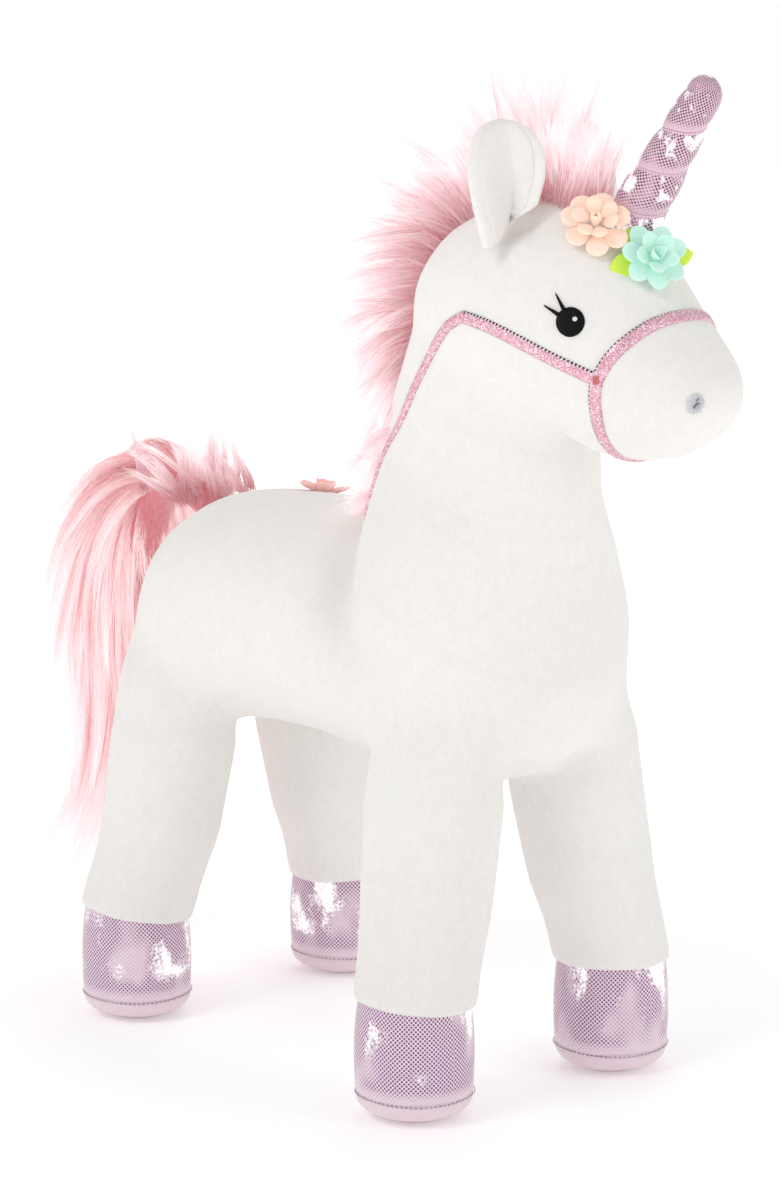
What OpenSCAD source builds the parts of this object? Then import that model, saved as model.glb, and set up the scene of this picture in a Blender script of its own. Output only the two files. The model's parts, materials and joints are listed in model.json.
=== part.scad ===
// Stuffed standing unicorn with a wound fabric horn, felt flowers, a ribbon
// bridle and a fur mane and tail. Millimetres, +Z up, +X forward, +Y its left.
// The origin is on the floor under the middle of the whole toy.

/* [Body] */
// Height of the middle of the trunk above the floor
trunk_z = 153; // [150:1:156]
// Half the width of the trunk at its widest
trunk_half_w = 49; // [47:1:52]

/* [Head] */
// How far the head is turned to the unicorn's left at rest, in degrees
head_turn = 12; // [4:1:16]
// Height of an ear
ear_len = 43; // [38:1:46]

/* [Legs] */
// Distance of the front hooves from the middle plane
front_track = 45; // [43:1:47]
// Distance of the hind hooves from the middle plane
hind_track = 49; // [47:1:51]
// Radius of a hoof
hoof_r = 20; // [19:0.5:20.5]
// Height of the hoof cover above the floor
hoof_h = 37; // [34:1:40]

/* [Horn] */
// Length of the horn from the forehead to the tip
horn_len = 53; // [48:1:56]
// Largest radius of the horn
horn_r = 9.8; // [9:0.2:10.4]
// Forward lean of the horn, in degrees
horn_lean = 27; // [22:1:30]

/* [Fabric] */
// Thickness of the pile fabric
skin_t = 1.5; // [1.2:0.1:2]
// Thickness of the felt petals and leaves
felt_t = 1.2; // [1:0.1:1.5]
// Width of the bridle ribbon
ribbon_w = 4.3; // [3.5:0.1:5]

/* [Shown piece] */
// Piece to draw, or all of them

/* [Hidden] */
white = [0.94, 0.94, 0.92];
filling = [0.98, 0.98, 0.97];
pink = [0.91, 0.68, 0.71];
lilac = [0.86, 0.76, 0.84];
black = [0.06, 0.06, 0.07];
peach = [0.98, 0.82, 0.73];
mint = [0.72, 0.90, 0.84];
lime = [0.80, 0.92, 0.35];

// The body frame stands this far ahead of the origin
shift_x = 13.55;
// Room between skin and filling, and between pieces that move
layer_gap = 0.15;
joint_gap = 0.6;
fill_t = skin_t + layer_gap;
pts = 20;

neck_pivot = [56, 0, 197];
neck_r = 47;
neck_rim_z = 186;
head_pivot = [62, 0, 237];
jaw_clear_r = 43;
hip_r = 26;
front_hip = [64, 32, 105];
hind_hip = [-87, 33, 105];
hip_inner_y = 8;
front_hoof = [70, front_track, 0];
hind_hoof = [-90, hind_track, 0];
front_cuff = [70, front_track - 0.8, 0];
hind_cuff = [-87, hind_track - 1.5, 0];
tail_pivot = [-108, 0, 184];
tail_root_r = 6;
ear_pivot = [17, 21.5, 298.4];
ear_base_r = 4.7;
ear_turn = 15;
ear_lean = 8;
horn_base = [58, 0, 298];
horn_tip_r = 5.3;
horn_turns = 4.5;
horn_pinch = 0.13;

// Stations: [x, y, z, tilt, half depth, half width, squareness]
trunk = [
  [-121, 0, trunk_z - 7, 90, 8, 10, 2],
  [-117, 0, trunk_z - 8, 90, 20, 24, 2],
  [-108, 0, trunk_z - 8, 90, 31, 35, 2.1],
  [-95, 0, trunk_z - 4, 90, 39, 42, 2.3],
  [-76, 0, trunk_z, 90, 43, 46, 2.4],
  [-46, 0, trunk_z + 2.5, 90, 41.5, trunk_half_w, 2.3],
  [-12, 0, trunk_z + 1.5, 90, 40.5, trunk_half_w, 2.2],
  [22, 0, trunk_z, 90, 42, trunk_half_w, 2.3],
  [50, 0, trunk_z, 90, 43, trunk_half_w, 2.5],
  [74, 0, trunk_z, 90, 42, trunk_half_w - 4, 2.4],
  [88, 0, trunk_z, 90, 34, trunk_half_w - 14, 2.2],
  [96, 0, trunk_z + 1, 90, 20, trunk_half_w - 28, 2],
  [99, 0, trunk_z + 2, 90, 7, 7, 2]
];
neck = [
  [54, 0, 134, 0, 40, 44, 2.2],
  [55, 0, 165, 0, 45, 48.5, 2.2],
  [54, 0, 190, -2, 44, 43, 2.1],
  [54.5, 0, 212, -5, 43, 34.5, 2],
  [60, 0, 237, -8, 38.5, 30, 2],
  [65, 0, 260, -10, 35, 30, 2],
  [67, 0, 280, -10, 28, 26, 2],
  [67, 0, 292, -10, 16, 16, 2]
];
// The head is drawn in its own frame: X forward from the head pivot.
// Each ring of it: [top x, top z, bottom x, bottom z, half width]
head_rings = [
  [-28, 277, -28, 266, 6],
  [-25, 287, -26, 255, 17],
  [-14, 298, -18, 243, 27],
  [4, 304.5, 1, 234, 33],
  [26, 306, 22, 229, 35],
  [46, 302, 38, 226, 34],
  [60, 289, 50, 224, 31],
  [72, 274, 61, 223.5, 27.5],
  [82, 263, 73, 226, 24],
  [87.5, 255, 82, 232, 18],
  [90, 248, 88, 239, 7]
];
skull = [
  for (r = head_rings)
    [(r[0] + r[2]) / 2, 0, (r[1] + r[3]) / 2, atan2(r[1] - r[3], r[0] - r[2]),
     norm([r[0] - r[2], r[1] - r[3]]) / 2, r[4], 2.1]
];

function leg_line(hip, cuff) = [
  [hip.x, hip.y - 4, hip.z + 40, 0, 24, 12, 2.1],
  [hip.x, hip.y - 1, hip.z + 20, 0, 25.5, 18, 2.1],
  [hip.x, hip.y, hip.z, 0, 25, 22, 2.1],
  [(hip.x + cuff.x) / 2, (hip.y + cuff.y) / 2, 68, 0, 22.5, 22, 2],
  [cuff.x, cuff.y - 0.8, hoof_h + 9, 0, hoof_r + 1, hoof_r + 1, 2],
  [cuff.x, cuff.y, hoof_h, 0, hoof_r + 0.6, hoof_r + 0.6, 2]
];
front_leg = leg_line(front_hip, front_cuff);
hind_leg = leg_line(hind_hip, hind_cuff);

// Fur, each as stations along the lie of the hair
poll_fur = [
  [8, 0, 309, 80, 5, 5, 2],
  [-8, 0, 308, 105, 9, 8, 2],
  [-24, 0, 300, 130, 12, 9, 2],
  [-36, 0, 285, 155, 13, 9, 2],
  [-43, 0, 262, 170, 13, 9, 2],
  [-49, 0, 236, 172, 12, 9, 2]
];
crest_fur = [
  [14, 0, 240, 170, 12, 9, 2],
  [8, 0, 228, 165, 12, 9, 2],
  [1, 0, 217, 160, 9, 8, 2],
  [-4, 0, 210, 150, 3, 4, 2]
];
forelock_fur = [
  [22, 0, 302, 0, 13, 7, 2],
  [22, 0, 316, 0, 14, 8, 2],
  [25, 0, 330, 0, 11, 7.5, 2],
  [29, 0, 341, 0, 7, 5, 2],
  [32, 0, 347, 0, 2, 2, 2]
];
tail_fur_line = [
  [-110, 0, 190, 70, 8, 9, 2],
  [-120, 0, 196, 85, 13, 15, 2],
  [-132, 0, 196, 108, 17, 20, 2],
  [-145, 0, 188, 140, 20, 25, 2],
  [-153, 0, 170, 165, 21, 27, 2],
  [-156, 0, 145, 178, 20, 27, 2],
  [-159, 0, 112, 178, 18, 24, 2],
  [-163, 0, 82, 175, 15, 20, 2],
  [-168, 0, 58, 172, 10, 13, 2],
  [-170, 0, 46, 172, 3, 4, 2]
];

// Ribbon paths over the surface: [place along the stations, angle]
nose_path = [
  [7.25, 0], [7.2, -12], [7.05, -34], [6.8, -62], [6.42, -91],
  [6.42, -112], [6.4, -134], [6.3, -157], [6.25, -180]
];
cheek_path = [
  [6.25, -93], [5.9, -95], [5.4, -96], [4.6, -95], [3.9, -91], [3.4, -89], [3.1, -89.5]
];
poll_path = [[5.02, -101], [4.7, -108], [4.35, -115], [4.06, -120]];
rein_path = [[3.95, -122], [3.75, -130], [3.5, -142], [3.2, -150], [2.85, -155]];
lash_paths = [[[5.31, -72], [5.12, -69.5], [4.95, -69]],
              [[5.2, -76], [5.05, -75], [4.88, -76]]];
eye_spot = [5.51, -75];
nostril_spot = [9.36, -82];

// Smooth curve through a list of stations, cut into steps between each pair
function curve_at(a, b, c, d, t) =
  0.5 * (2 * b + (c - a) * t + (2 * a - 5 * b + 4 * c - d) * t * t
         + (3 * b - a - 3 * c + d) * t * t * t);
function at(list, u) =
  let (n = len(list) - 1, i = min(floor(u), n - 1))
  curve_at(list[max(i - 1, 0)], list[i], list[i + 1], list[min(i + 2, n)], u - i);
function smooth(list, steps) =
  [for (i = [0 : (len(list) - 1) * steps]) at(list, i / steps)];

// Point of a ring at an angle: 0 is its front or top, 90 the left side
function power(v, e) = sign(v) * pow(abs(v), e);
function ring_point(s, a) =
  let (u = s[4] * power(cos(a), 2 / s[6]), v = s[5] * power(sin(a), 2 / s[6]))
  [s[0] + u * cos(s[3]), s[1] + v, s[2] + u * sin(s[3])];
function unit(v) = v / norm(v);

// Point and outward direction on the surface over the stations
function spot(list, q) =
  let (p = ring_point(at(list, q[0]), q[1]),
       along = ring_point(at(list, q[0] + 0.02), q[1]) - p,
       around = ring_point(at(list, q[0]), q[1] + 1) - p,
       n = unit(cross(around, along)),
       s = at(list, q[0]),
       out = n * (p - [s[0], s[1], s[2]]) < 0 ? -1 : 1)
  [p, n * out];

// Stations with the ring made smaller all round by t
function inset(list, t) =
  [for (s = list) [s[0], s[1], s[2], s[3], max(s[4] - t, 1), max(s[5] - t, 1), s[6]]];
// The same, with the two ends drawn in as well
function shrink(list, t) =
  let (a = list[0], b = list[len(list) - 1],
       mid = [for (i = [0 : 2]) (a[i] + b[i]) / 2],
       reach = norm([for (i = [0 : 2]) a[i] - mid[i]]))
  [for (s = inset(list, t)) [
    for (i = [0 : 6]) i < 3 ? s[i] + (mid[i] - s[i]) * t / reach : s[i]
  ]];
function moved(list, by) =
  [for (s = list) [for (i = [0 : 6]) i < 3 ? s[i] + by[i] : s[i]]];

// Soft pieces are joined and cut as meshes, because their surfaces are free form
module soft() {
  resize([0, 0, 0]) children();
}

// Closed solid through a list of rings of points
module rings_solid(rings, flip = false) {
  k = len(rings);
  n = len(rings[0]);
  ones = [for (i = [1 : n]) 1 / n];
  sides = [
    for (r = [0 : k - 2], i = [0 : n - 1]) let (j = (i + 1) % n)
      each [[r * n + i, r * n + j, (r + 1) * n + j],
            [r * n + i, (r + 1) * n + j, (r + 1) * n + i]]
  ];
  caps = [
    for (i = [0 : n - 1]) let (j = (i + 1) % n)
      each [[k * n, j, i], [k * n + 1, (k - 1) * n + i, (k - 1) * n + j]]
  ];
  faces = concat(sides, caps);
  polyhedron(
    points = concat([for (r = rings, q = r) q], [ones * rings[0], ones * rings[k - 1]]),
    faces = flip ? [for (f = faces) [f[0], f[2], f[1]]] : faces,
    convexity = 6
  );
}
// Closed tube over stations; up is true where the list climbs in Z
module tube(list, up = false, steps = 1, n = pts) {
  rings_solid(
    [for (s = smooth(list, steps)) [for (i = [0 : n - 1]) ring_point(s, 360 * i / n)]],
    flip = up
  );
}
// Flat band along spots on a surface, from lo to hi above it
module band(spots, w, lo, hi) {
  k = len(spots) - 1;
  rings_solid([
    for (i = [0 : k])
      let (p = spots[i][0], n = spots[i][1],
           t = spots[min(i + 1, k)][0] - spots[max(i - 1, 0)][0],
           s = unit(cross(n, t)) * w / 2)
      [p + s + n * lo, p - s + n * lo, p - s + n * hi, p + s + n * hi]
  ]);
}
function spots_of(list, path, steps) = [for (q = smooth(path, steps)) spot(list, q)];

module stand_on(place) {
  n = place[1];
  translate(place[0]) rotate([0, acos(n.z), atan2(n.y, n.x)]) children();
}
module in_head() {
  translate([head_pivot.x, 0, 0]) rotate([0, 0, head_turn]) children();
}
module in_toy() {
  translate([shift_x, 0, 0]) children();
}
module side(left) {
  mirror([0, left ? 0 : 1, 0]) children();
}
module half_space(left) {
  side(left) translate([-250, 0.06, -10]) cube([500, 120, 400]);
}
module across(p, r, inner, outer) {
  translate([p.x, inner, p.z]) rotate([-90, 0, 0]) cylinder(r = r, h = outer - inner, $fn = 40);
}

// Trunk with the neck socket, the four hip sockets and the tail socket
module trunk_solid(t) {
  difference() {
    union() {
      tube(shrink(trunk, t));
      intersection() {
        tube(inset(neck, t), up = true);
        translate([-20, -60, 140]) cube([140, 120, neck_rim_z - 140]);
      }
      for (left = [0, 1], line = [front_leg, hind_leg])
        side(left) intersection() {
          tube(inset(line, t));
          translate([-150, 0, 110]) cube([300, 80, 50]);
        }
    }
    across(neck_pivot, neck_r + joint_gap, -60, 60);
    translate([5, -60, neck_rim_z]) cube([120, 120, 40]);
    for (left = [0, 1], hip = [front_hip, hind_hip]) side(left) {
      across(hip, hip_r + joint_gap, hip_inner_y, 80);
      translate([hip.x - hip_r - 4, hip_inner_y, 90])
        cube([2 * hip_r + 8, 80, 20]);
    }
    translate(tail_pivot) rotate([0, 90, 0])
      cylinder(r = tail_root_r + joint_gap, h = 16, center = true, $fn = 24);
  }
}
module trunk_skin() {
  difference() {
    trunk_solid(0);
    tube(shrink(trunk, skin_t));
    intersection() {
      tube(inset(neck, skin_t), up = true);
      translate([-20, -60, 140]) cube([140, 120, 100]);
    }
    for (left = [0, 1], line = [front_leg, hind_leg])
      side(left) tube(inset(line, skin_t));
  }
}
module belly_zone(grow) {
  translate([-106 - grow, -12 - grow, 90]) cube([188 + 2 * grow, 24 + 2 * grow, 60]);
}
module flank(left) {
  soft() difference() {
    intersection() {
      trunk_skin();
      half_space(left);
    }
    belly_zone(0.1);
  }
}
module body_panel_right() { color(white) in_toy() flank(false); }
module body_panel_left() { color(white) in_toy() flank(true); }
module belly_gusset() {
  color(white) in_toy() soft() intersection() {
    trunk_skin();
    belly_zone(0);
  }
}
module body_filling() { color(filling) in_toy() soft() trunk_solid(fill_t); }

// Neck, a half drum below so that it nods in its socket
module neck_solid(t) {
  intersection() {
    tube(inset(neck, t), up = true);
    translate([-20, -60, 100]) cube([150, 120, head_pivot.z - joint_gap / 2 - 100]);
    union() {
      across(neck_pivot, neck_r, -60, 60);
      translate([-20, -60, neck_pivot.z]) cube([150, 120, 60]);
    }
  }
}
module neck_panel(left) {
  soft() intersection() {
    difference() {
      neck_solid(0);
      tube(inset(neck, skin_t), up = true);
    }
    half_space(left);
  }
}
module neck_panel_right() { color(white) in_toy() neck_panel(false); }
module neck_panel_left() { color(white) in_toy() neck_panel(true); }
module neck_filling() { color(filling) in_toy() soft() neck_solid(fill_t); }
module crest_mane() {
  color(pink) in_toy() soft() difference() {
    tube(crest_fur, up = true);
    tube(inset(neck, -layer_gap), up = true);
    translate([-60, -60, head_pivot.z - joint_gap / 2]) cube([120, 120, 40]);
  }
}
module rein(left) {
  side(!left) soft() intersection() {
    band(spots_of(neck, rein_path, 3), ribbon_w, 0.25, 1.05);
    translate([-20, -60, 180]) cube([140, 120, head_pivot.z - 1 - 180]);
  }
}
module rein_right() { color(pink) in_toy() rein(false); }
module rein_left() { color(pink) in_toy() rein(true); }

// Head with the top of the neck, in the head's own frame
function upper_neck() = moved(neck, [-head_pivot.x, 0, 0]);
module head_shape(t) {
  tube(shrink(skull, t));
  intersection() {
    tube(inset(upper_neck(), t), up = true);
    translate([-100, -60, head_pivot.z + joint_gap / 2]) cube([200, 120, 120]);
  }
}
module head_solid(t) {
  difference() {
    head_shape(t);
    translate([0, 0, 180])
      cylinder(r = jaw_clear_r, h = head_pivot.z + joint_gap / 2 - 180, $fn = 48);
    for (left = [0, 1]) side(left) at_ear()
      rotate([0, 90, 0])
        cylinder(r = ear_base_r + joint_gap, h = 26, center = true, $fn = 24);
  }
}
module head_skin() {
  difference() {
    head_solid(0);
    tube(shrink(skull, skin_t));
    tube(inset(upper_neck(), skin_t), up = true);
  }
}
module gusset_zone(grow) {
  translate([-40, -9 - grow, 256]) cube([150, 18 + 2 * grow, 60]);
}
module head_panel(left) {
  soft() difference() {
    intersection() {
      head_skin();
      half_space(left);
    }
    gusset_zone(0.1);
  }
}
module head_panel_right() { color(white) in_toy() in_head() head_panel(false); }
module head_panel_left() { color(white) in_toy() in_head() head_panel(true); }
module head_gusset() {
  color(white) in_toy() in_head() soft() intersection() {
    head_skin();
    gusset_zone(0);
  }
}
module head_filling() { color(filling) in_toy() in_head() soft() head_solid(fill_t); }

// Embroidered eyes, lashes and nostrils
module dome(r, edge, rise) {
  rotate_extrude($fn = 40) polygon([
    [0, 0], [r, 0], [r, edge], [r * 0.8, edge + rise * 0.5],
    [r * 0.45, edge + rise * 0.88], [0, edge + rise]
  ]);
}
module eye(left) {
  side(!left) stand_on(spot(skull, eye_spot)) translate([0, 0, 0.2]) dome(5, 0.4, 1.1);
}
module eye_right() { color(black) in_toy() in_head() eye(false); }
module eye_left() { color(black) in_toy() in_head() eye(true); }
module lashes(left) {
  soft() side(!left) difference() {
    for (path = lash_paths) band(spots_of(skull, path, 2), 0.9, 0.25, 0.8);
    stand_on(spot(skull, eye_spot)) cylinder(r = 5.2, h = 8, center = true, $fn = 24);
  }
}
module lashes_right() { color(black) in_toy() in_head() lashes(false); }
module lashes_left() { color(black) in_toy() in_head() lashes(true); }
module nostril(left) {
  side(!left) stand_on(spot(skull, nostril_spot)) translate([0, 0, 0.2]) dome(3.3, 0.3, 0.4);
}
module nostril_right() { color(lilac) in_toy() in_head() nostril(false); }
module nostril_left() { color(lilac) in_toy() in_head() nostril(true); }

// Ears, in halves of outer fabric and lining, on a rounded root
module at_ear() {
  translate(ear_pivot) rotate([0, 0, -ear_turn]) rotate([-ear_lean, 0, 0]) children();
}
ear_rings = [
  [0, 0, 0, 0, 11.5, 4.4, 2],
  [0, 0, ear_len * 0.2, 0, 13.4, 5.4, 2],
  [-0.5, 0, ear_len * 0.42, 0, 14.3, 5, 2],
  [-1.5, 0, ear_len * 0.65, 0, 12.4, 4.2, 2],
  [-3, 0, ear_len * 0.84, 0, 8.4, 3.2, 2],
  [-4, 0, ear_len * 0.96, 0, 4.2, 2, 2],
  [-4.4, 0, ear_len, 0, 1.2, 0.8, 2]
];
module ear_half(left, front) {
  side(left) at_ear() soft() intersection() {
    union() {
      tube(ear_rings, up = true, n = 16);
      rotate([0, 90, 0]) cylinder(r = ear_base_r, h = 22, center = true, $fn = 24);
    }
    half_space(front);
  }
}
module ear_right_outer() { color(white) in_toy() in_head() ear_half(false, false); }
module ear_right_lining() { color(white) in_toy() in_head() ear_half(false, true); }
module ear_left_outer() { color(white) in_toy() in_head() ear_half(true, false); }
module ear_left_lining() { color(white) in_toy() in_head() ear_half(true, true); }

// Horn, a cone of fabric pinched along a spiral by a wound thread
module at_horn() {
  translate(horn_base) rotate([0, horn_lean, 0]) children();
}
function horn_radius(z) =
  let (r = horn_r + (horn_tip_r - horn_r) * z / horn_len,
       cap = horn_len - horn_tip_r,
       k = max(z - cap, 0) / horn_tip_r)
  r * sqrt(max(1 - k * k, 0.02));
function horn_ring(z, less, pinch, n) = [
  for (i = [0 : n - 1])
    let (a = 360 * i / n,
         near = pow((1 + cos(a - 360 * horn_turns * z / horn_len)) / 2, 5),
         r = max(horn_radius(z) * (1 - pinch * near) - less, 0.6))
    [r * cos(a), r * sin(a), z]
];
module horn_shape(less, pinch, rings, n) {
  rings_solid([
    for (i = [0 : rings]) let (z = -8 + (horn_len + 8 - less) * i / rings)
      horn_ring(z, less, pinch, n)
  ], flip = true);
}
module off_head(grow) {
  difference() {
    children();
    tube(shrink(skull, -grow));
  }
}
module horn_cover() {
  color(lilac) in_toy() in_head() soft() off_head(layer_gap) at_horn() difference() {
    horn_shape(0, horn_pinch, 20, 18);
    horn_shape(skin_t, horn_pinch, 20, 18);
  }
}
module horn_filling() {
  color(filling) in_toy() in_head() soft() off_head(layer_gap) at_horn()
    horn_shape(fill_t + horn_r * horn_pinch, 0, 8, 16);
}
module horn_thread() {
  steps = 46;
  color(lilac) in_toy() in_head() soft() difference() {
    off_head(layer_gap) at_horn() rings_solid([
      for (i = [0 : steps])
        let (z = 5 + (horn_len - 12) * i / steps,
             a = 360 * horn_turns * z / horn_len,
             r = horn_radius(z) * (1 - horn_pinch) + 0.45)
        [for (j = [0 : 3]) let (b = 90 * j + 45)
          [(r + 0.5 * cos(b)) * cos(a), (r + 0.5 * cos(b)) * sin(a), z + 0.5 * sin(b)]]
    ]);
    at_horn() horn_shape(-0.05, horn_pinch, 20, 18);
  }
}

// Felt flowers in two layers of petals, and leaves. One layer is a cupped disc
// with a scalloped rim: share runs from its centre, 0, to its rim, 1
function petal_line(count, r, rise, share, z) =
  [for (i = [0 : count * 6 - 1])
    let (a = 60 * i / count,
         notch = 0.24 * share * pow(1 - abs(sin(count * a / 2)), 1.5),
         reach = r * share * (1 - notch))
    [reach * cos(a), reach * sin(a), z + rise * share * share]];
module petals(count, r, rise) {
  rings_solid([
    for (share = [0.25, 0.65, 1]) petal_line(count, r, rise, share, 0),
    for (share = [1, 0.65, 0.25]) petal_line(count, r, rise, share, felt_t)
  ], flip = true);
}
module outer_petals(r) { petals(6, r, r * 0.16); }
module inner_petals(r) {
  translate([0, 0, felt_t + 0.5]) rotate([0, 0, 17]) petals(5, r * 0.55, r * 0.3);
}
peach_place = [[49, -19, 300], unit([0.45, -0.65, 0.55])];
mint_place = [[71.5, -7.4, 288.6], unit([0.8, -0.45, 0.3])];
leaf_turns = [115, 205, -50];
back_place = [[-50, 3, trunk_z + 44.6], [0, 0.05, 1]];
module peach_outer() {
  color(peach) in_toy() in_head() stand_on(peach_place) outer_petals(11.5);
}
module peach_inner() {
  color(peach) in_toy() in_head() stand_on(peach_place) inner_petals(11.5);
}
module mint_outer() {
  color(mint) in_toy() in_head() stand_on(mint_place) outer_petals(11);
}
module mint_inner() {
  color(mint) in_toy() in_head() stand_on(mint_place) inner_petals(11);
}
module leaf() {
  linear_extrude(height = felt_t)
    polygon([[3, 0], [5, 2.2], [8, 3], [10.5, 2.2], [13, 0], [10.5, -2.2], [8, -3], [5, -2.2]]);
}
module flower_leaves() {
  color(lime) in_toy() in_head() stand_on(mint_place) translate([0, 0, -felt_t - 0.2])
    for (a = leaf_turns) rotate([0, 0, a]) leaf();
}
module back_flower() {
  color([0.95, 0.66, 0.60]) in_toy() stand_on(back_place) petals(6, 10.8, 1.7);
}

// Fur on the head
module poll_mane() {
  color(pink) in_toy() in_head() soft() difference() {
    off_head(layer_gap) tube(poll_fur, up = true);
    tube(inset(upper_neck(), -layer_gap), up = true);
    translate([-100, -60, 180]) cube([200, 120, head_pivot.z + joint_gap / 2 - 180]);
  }
}
module forelock() {
  color(pink) in_toy() in_head() soft() off_head(layer_gap) difference() {
    tube(forelock_fur, up = true, n = 16);
    tube(inset(poll_fur, -0.2), up = true);
  }
}

// Ribbon bridle
module noseband() {
  half = spots_of(skull, nose_path, 2);
  k = len(half) - 1;
  back = [for (i = [k - 1 : -1 : 1]) [[half[i][0].x, -half[i][0].y, half[i][0].z],
                                      [half[i][1].x, -half[i][1].y, half[i][1].z]]];
  color(pink) in_toy() in_head() soft() difference() {
    loop_band(concat(half, back), ribbon_w, 0.2, 1);
    tube(shrink(skull, -0.05));
  }
}
module loop_band(spots, w, lo, hi) {
  n = len(spots);
  rings = [
    for (i = [0 : n - 1])
      let (p = spots[i][0], q = spots[i][1],
           t = spots[(i + 1) % n][0] - spots[(i + n - 1) % n][0],
           s = unit(cross(q, t)) * w / 2)
      [p + s + q * lo, p - s + q * lo, p - s + q * hi, p + s + q * hi]
  ];
  polyhedron(
    points = [for (r = rings, v = r) v],
    faces = [for (r = [0 : n - 1], i = [0 : 3]) let (s = (r + 1) % n, j = (i + 1) % 4)
      each [[r * 4 + i, r * 4 + j, s * 4 + j], [r * 4 + i, s * 4 + j, s * 4 + i]]],
    convexity = 6
  );
}
module off_head_shape() {
  difference() {
    children();
    head_shape(-0.1);
    translate([-60, -60, 200]) cube([160, 120, head_pivot.z + 1 - 200]);
  }
}
module cheek_strap(left) {
  side(!left) soft() off_head_shape() band(
    concat(spots_of(skull, cheek_path, 2), spots_of(upper_neck(), poll_path, 2)),
    ribbon_w, 0.2, 1.1
  );
}
module cheek_strap_right() { color(pink) in_toy() in_head() cheek_strap(false); }
module cheek_strap_left() { color(pink) in_toy() in_head() cheek_strap(true); }

// Tail
module tail_root() {
  color(pink) in_toy() translate(tail_pivot) rotate([0, -90, 0])
    translate([0, 0, -7]) cylinder(r = tail_root_r, h = 21.8, $fn = 40);
}
module tail_fur() {
  color(pink) in_toy() soft() difference() {
    tube(tail_fur_line, up = true);
    translate([-109, -60, 120]) cube([60, 120, 120]);
    translate([-123, -60, 120]) cube([60, 120, tail_pivot.z - 3 - 120]);
    translate([-118, 0, tail_pivot.z]) rotate([0, 90, 0])
      cylinder(r = tail_root_r + 0.2, h = 21, center = true, $fn = 24);
  }
}

// Legs: skin, filling, hoof cover and sole, on a half drum that turns in the hip
module leg_solid(line, hip, t) {
  intersection() {
    tube(inset(line, t));
    union() {
      across(hip, hip_r, hip_inner_y + joint_gap, 80);
      translate([-150, 0, 0]) cube([300, 90, hip.z]);
    }
  }
}
module leg_skin(line, hip, left) {
  side(left) soft() difference() {
    leg_solid(line, hip, 0);
    tube(inset(line, skin_t));
    translate([0, 0, hoof_h - 5]) linear_extrude(height = 5.2) square(400, center = true);
  }
}
module leg_filling(line, hip, hoof, cuff, left) {
  core_r = hoof_r - fill_t - 0.5;
  side(left) soft() union() {
    leg_solid(line, hip, fill_t);
    translate([hoof.x, hoof.y, 2.2]) cylinder(r1 = 11, r2 = core_r, h = 6, $fn = 24);
    translate([hoof.x, hoof.y, 8]) cylinder(r = core_r, h = hoof_h - 8, $fn = 24);
    translate([(hoof.x + cuff.x) / 2, (hoof.y + cuff.y) / 2, hoof_h - 2])
      cylinder(r = hoof_r - 4, h = 4, $fn = 24);
  }
}
module hoof_cover(hoof, left) {
  side(left) translate(hoof) rotate_extrude($fn = 60) polygon([
    [hoof_r - skin_t - 0.4, 7.2], [hoof_r - 0.4, 7.2], [hoof_r, 12], [hoof_r, 24],
    [hoof_r - 0.3, hoof_h], [hoof_r - 0.3 - skin_t + 0.2, hoof_h],
    [hoof_r - skin_t, 24], [hoof_r - skin_t, 12]
  ]);
}
module hoof_sole(hoof, left) {
  side(left) translate(hoof) rotate_extrude($fn = 60) polygon([
    [0, 0], [12, 0], [15.5, 1.2], [18.2, 3.6], [hoof_r - 0.5, 7],
    [hoof_r - skin_t - 0.5, 7], [16.4, 4.2], [14.4, 2.5], [11.8, 1.6], [0, 1.6]
  ]);
}
module leg_skin_front_right() { color(white) in_toy() leg_skin(front_leg, front_hip, false); }
module leg_skin_front_left() { color(white) in_toy() leg_skin(front_leg, front_hip, true); }
module leg_skin_hind_right() { color(white) in_toy() leg_skin(hind_leg, hind_hip, false); }
module leg_skin_hind_left() { color(white) in_toy() leg_skin(hind_leg, hind_hip, true); }
module leg_filling_front_right() {
  color(filling) in_toy() leg_filling(front_leg, front_hip, front_hoof, front_cuff, false);
}
module leg_filling_front_left() {
  color(filling) in_toy() leg_filling(front_leg, front_hip, front_hoof, front_cuff, true);
}
module leg_filling_hind_right() {
  color(filling) in_toy() leg_filling(hind_leg, hind_hip, hind_hoof, hind_cuff, false);
}
module leg_filling_hind_left() {
  color(filling) in_toy() leg_filling(hind_leg, hind_hip, hind_hoof, hind_cuff, true);
}
module hoof_cover_front_right() { color(lilac) in_toy() hoof_cover(front_hoof, false); }
module hoof_cover_front_left() { color(lilac) in_toy() hoof_cover(front_hoof, true); }
module hoof_cover_hind_right() { color(lilac) in_toy() hoof_cover(hind_hoof, false); }
module hoof_cover_hind_left() { color(lilac) in_toy() hoof_cover(hind_hoof, true); }
module hoof_sole_front_right() { color(lilac) in_toy() hoof_sole(front_hoof, false); }
module hoof_sole_front_left() { color(lilac) in_toy() hoof_sole(front_hoof, true); }
module hoof_sole_hind_right() { color(lilac) in_toy() hoof_sole(hind_hoof, false); }
module hoof_sole_hind_left() { color(lilac) in_toy() hoof_sole(hind_hoof, true); }

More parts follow.
